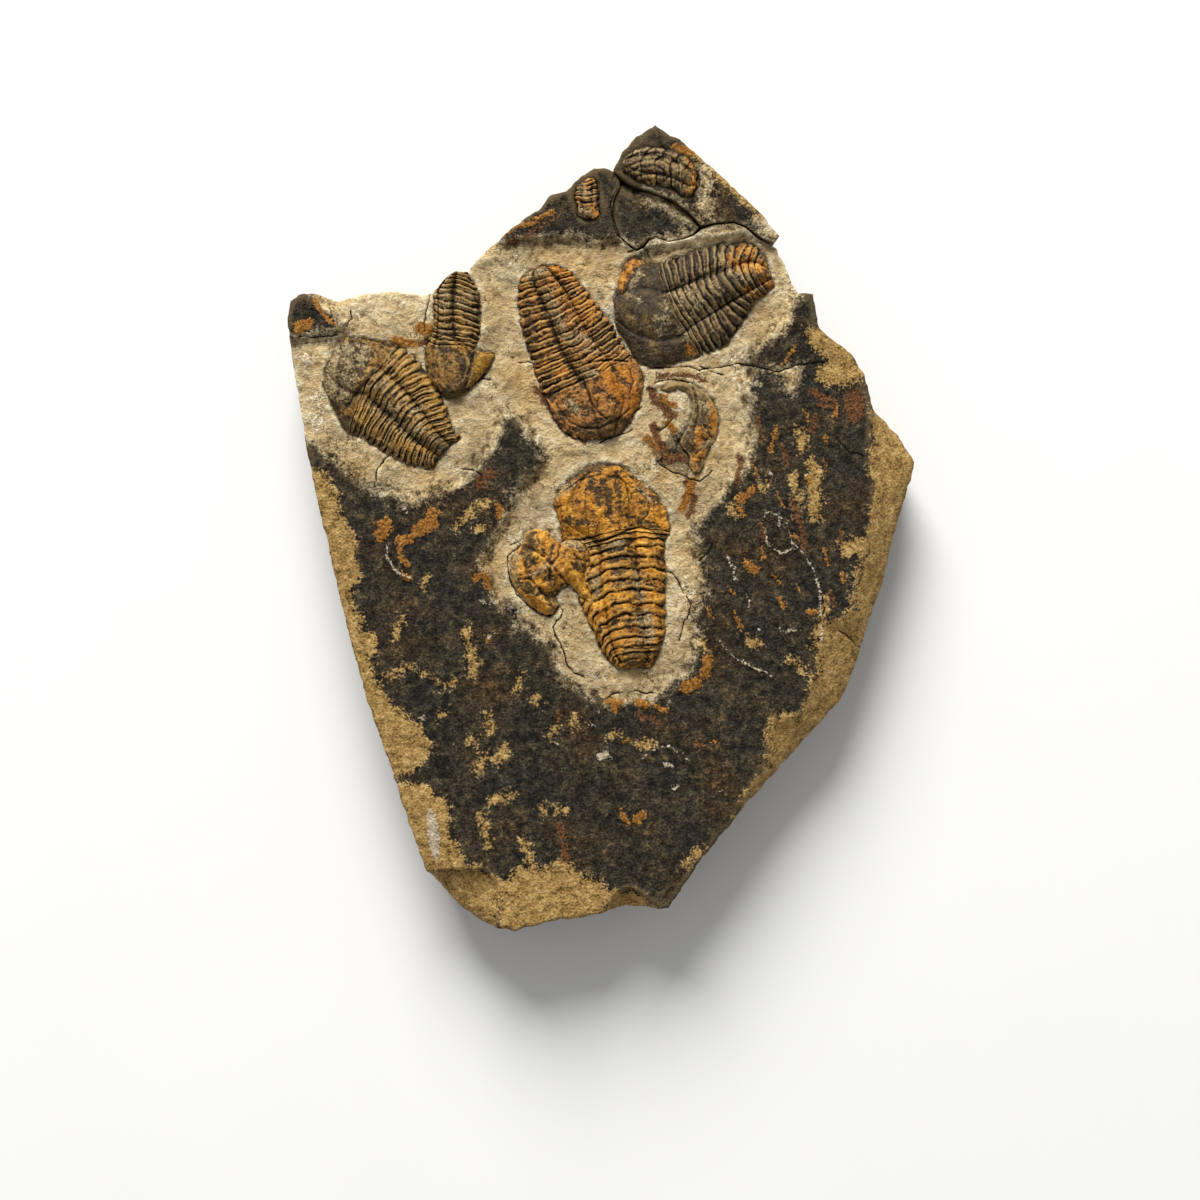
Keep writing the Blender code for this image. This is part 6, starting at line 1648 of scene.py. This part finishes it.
class StageSettings(bpy.types.PropertyGroup):
    camera_height: bpy.props.FloatProperty(
        name="Camera height", description="Height of the camera above the fossil face",
        default=0.45, unit="LENGTH")
    view_width: bpy.props.FloatProperty(
        name="View width", description="Width of the view at the fossil face",
        default=0.2286, unit="LENGTH")
    lamp_power: bpy.props.FloatProperty(
        name="Lamp power", description="Power of the large soft lamp", default=98.0, unit="POWER")
    sky_strength: bpy.props.FloatProperty(
        name="Fill light", description="Strength of the even light from all round", default=0.36)
    floor_colour: bpy.props.FloatVectorProperty(
        name="Floor colour", description="Colour of the plain floor", subtype="COLOR",
        default=linear("#f2f1ee")[:3])


# Operators
class PLATE_OT_shale(bpy.types.Operator):
    """Makes the slab, the corner and the wedge of split shale"""
    bl_idname = "plate.shale"
    bl_label = "Shale"

    def execute(self, context):
        shale_finish()
        settings = context.scene.plate_stone
        on_slab = [name for name in FOSSIL_OUTLINES if name != "trilobite_corner"]
        stone_piece("matrix_slab", SLAB_OUTLINE, slab_base, on_slab,
                    ["corner_fragment", "wedge_fragment"], settings)
        stone_piece("corner_fragment", CORNER_OUTLINE, corner_base, ["trilobite_corner"],
                    ["matrix_slab", "wedge_fragment"], settings)
        stone_piece("wedge_fragment", WEDGE_OUTLINE, wedge_base, [],
                    ["matrix_slab", "corner_fragment"], settings)
        return {"FINISHED"}


class PLATE_OT_ribbed_fossils(bpy.types.Operator):
    """Makes the trilobites whose ribs are kept"""
    bl_idname = "plate.ribbed_fossils"
    bl_label = "Ribbed fossils"

    def execute(self, context):
        for name in SHELL_COLOURS:
            shell_finish(name)
        for name, fossil in RIBBED.items():
            rock = corner_base if name == "trilobite_corner" else slab_base
            ribbed_fossil(name, fossil, rock, context.scene.plate_shell)
        return {"FINISHED"}


class PLATE_OT_broken_fossils(bpy.types.Operator):
    """Makes the broken and crumbled fossils"""
    bl_idname = "plate.broken_fossils"
    bl_label = "Broken fossils"

    def execute(self, context):
        for name, fossil in BROKEN.items():
            broken_fossil(name, fossil, slab_base, context.scene.plate_shell)
        return {"FINISHED"}


class PLATE_OT_stage(bpy.types.Operator):
    """Makes the floor, the soft light and the camera that looks down on the plate"""
    bl_idname = "plate.stage"
    bl_label = "Stage"

    def execute(self, context):
        settings = context.scene.plate_stage
        # Board under matt white paint: an even, pale ground without a sheen
        material, tree = new_finish("painted_board")
        place = add(tree, "ShaderNodeTexCoord", out="Object")
        cloud = add(tree, "ShaderNodeTexNoise", {"Vector": place, "Scale": 1.0 / (40.0 * MM)})
        colour = add(tree, "ShaderNodeMix", {
            "Factor": cloud, "A": (*settings.floor_colour, 1.0), "B": "#efeeea"}, data_type="RGBA")
        shader = add(tree, "ShaderNodeBsdfPrincipled", {"Base Color": colour, "Roughness": 0.9})
        add(tree, "ShaderNodeOutputMaterial", {"Surface": shader})
        mesh = bpy.data.meshes.new("floor")
        signs = ((-1, -1), (1, -1), (1, 1), (-1, 1))
        mesh.from_pydata([(a * FLOOR_HALF, b * FLOOR_HALF, 0.0) for a, b in signs],
                         [], [(0, 1, 2, 3)])
        mesh.materials.append(material)
        floor = bpy.data.objects.new("floor", mesh)
        context.scene.collection.objects.link(floor)

        world = bpy.data.worlds.new("studio")
        world.use_nodes = True
        background = world.node_tree.nodes["Background"]
        background.inputs["Color"].default_value = linear("#fbfcff")
        background.inputs["Strength"].default_value = settings.sky_strength
        context.scene.world = world

        lamp = bpy.data.lights.new("soft_lamp", "AREA")
        lamp.shape = "DISK"
        lamp.size = LAMP_SIZE
        lamp.energy = settings.lamp_power
        lamp_holder = bpy.data.objects.new("soft_lamp", lamp)
        lamp_holder.location = LAMP_PLACE
        aim = Vector(LAMP_AIM) - lamp_holder.location
        lamp_holder.rotation_euler = aim.to_track_quat("-Z", "Y").to_euler()
        context.scene.collection.objects.link(lamp_holder)

        camera = bpy.data.cameras.new("camera")
        camera.sensor_width = 36.0
        camera.lens = camera.sensor_width * settings.camera_height / settings.view_width
        camera.clip_start = 0.01
        holder = bpy.data.objects.new("camera", camera)
        holder.location = (*CAMERA_OVER, BEDDING_Z * MM + settings.camera_height)
        context.scene.collection.objects.link(holder)
        context.scene.camera = holder
        context.scene.view_settings.view_transform = "Standard"
        return {"FINISHED"}


class PLATE_PT_panel(bpy.types.Panel):
    """Lists the steps that make the plate"""
    bl_idname = "PLATE_PT_panel"
    bl_label = "Trilobite plate"
    bl_space_type = "VIEW_3D"
    bl_region_type = "UI"
    bl_category = "Plate"

    def draw(self, context):
        scene = context.scene
        for group, names, operators in (
                (scene.plate_stone, ("grain_spacing", "base_spacing", "side_layers"),
                 ("plate.shale",)),
                (scene.plate_shell, ("row_spacing", "groove_depth", "saw_height"),
                 ("plate.ribbed_fossils", "plate.broken_fossils")),
                (scene.plate_stage, ("camera_height", "view_width", "lamp_power", "sky_strength",
                                     "floor_colour"), ("plate.stage",))):
            column = self.layout.column()
            for name in names:
                column.prop(group, name)
            for operator in operators:
                column.operator(operator)


CLASSES = (StoneSettings, ShellSettings, StageSettings, PLATE_OT_shale, PLATE_OT_ribbed_fossils,
           PLATE_OT_broken_fossils, PLATE_OT_stage, PLATE_PT_panel)


def register():
    for item in CLASSES:
        bpy.utils.register_class(item)
    bpy.types.Scene.plate_stone = bpy.props.PointerProperty(type=StoneSettings)
    bpy.types.Scene.plate_shell = bpy.props.PointerProperty(type=ShellSettings)
    bpy.types.Scene.plate_stage = bpy.props.PointerProperty(type=StageSettings)


def unregister():
    for name in ("plate_stone", "plate_shell", "plate_stage"):
        delattr(bpy.types.Scene, name)
    for item in reversed(CLASSES):
        bpy.utils.unregister_class(item)


def main():
    register()
    bpy.ops.plate.shale()
    bpy.ops.plate.ribbed_fossils()
    bpy.ops.plate.broken_fossils()
    bpy.ops.plate.stage()


if __name__ == "__main__":
    main()
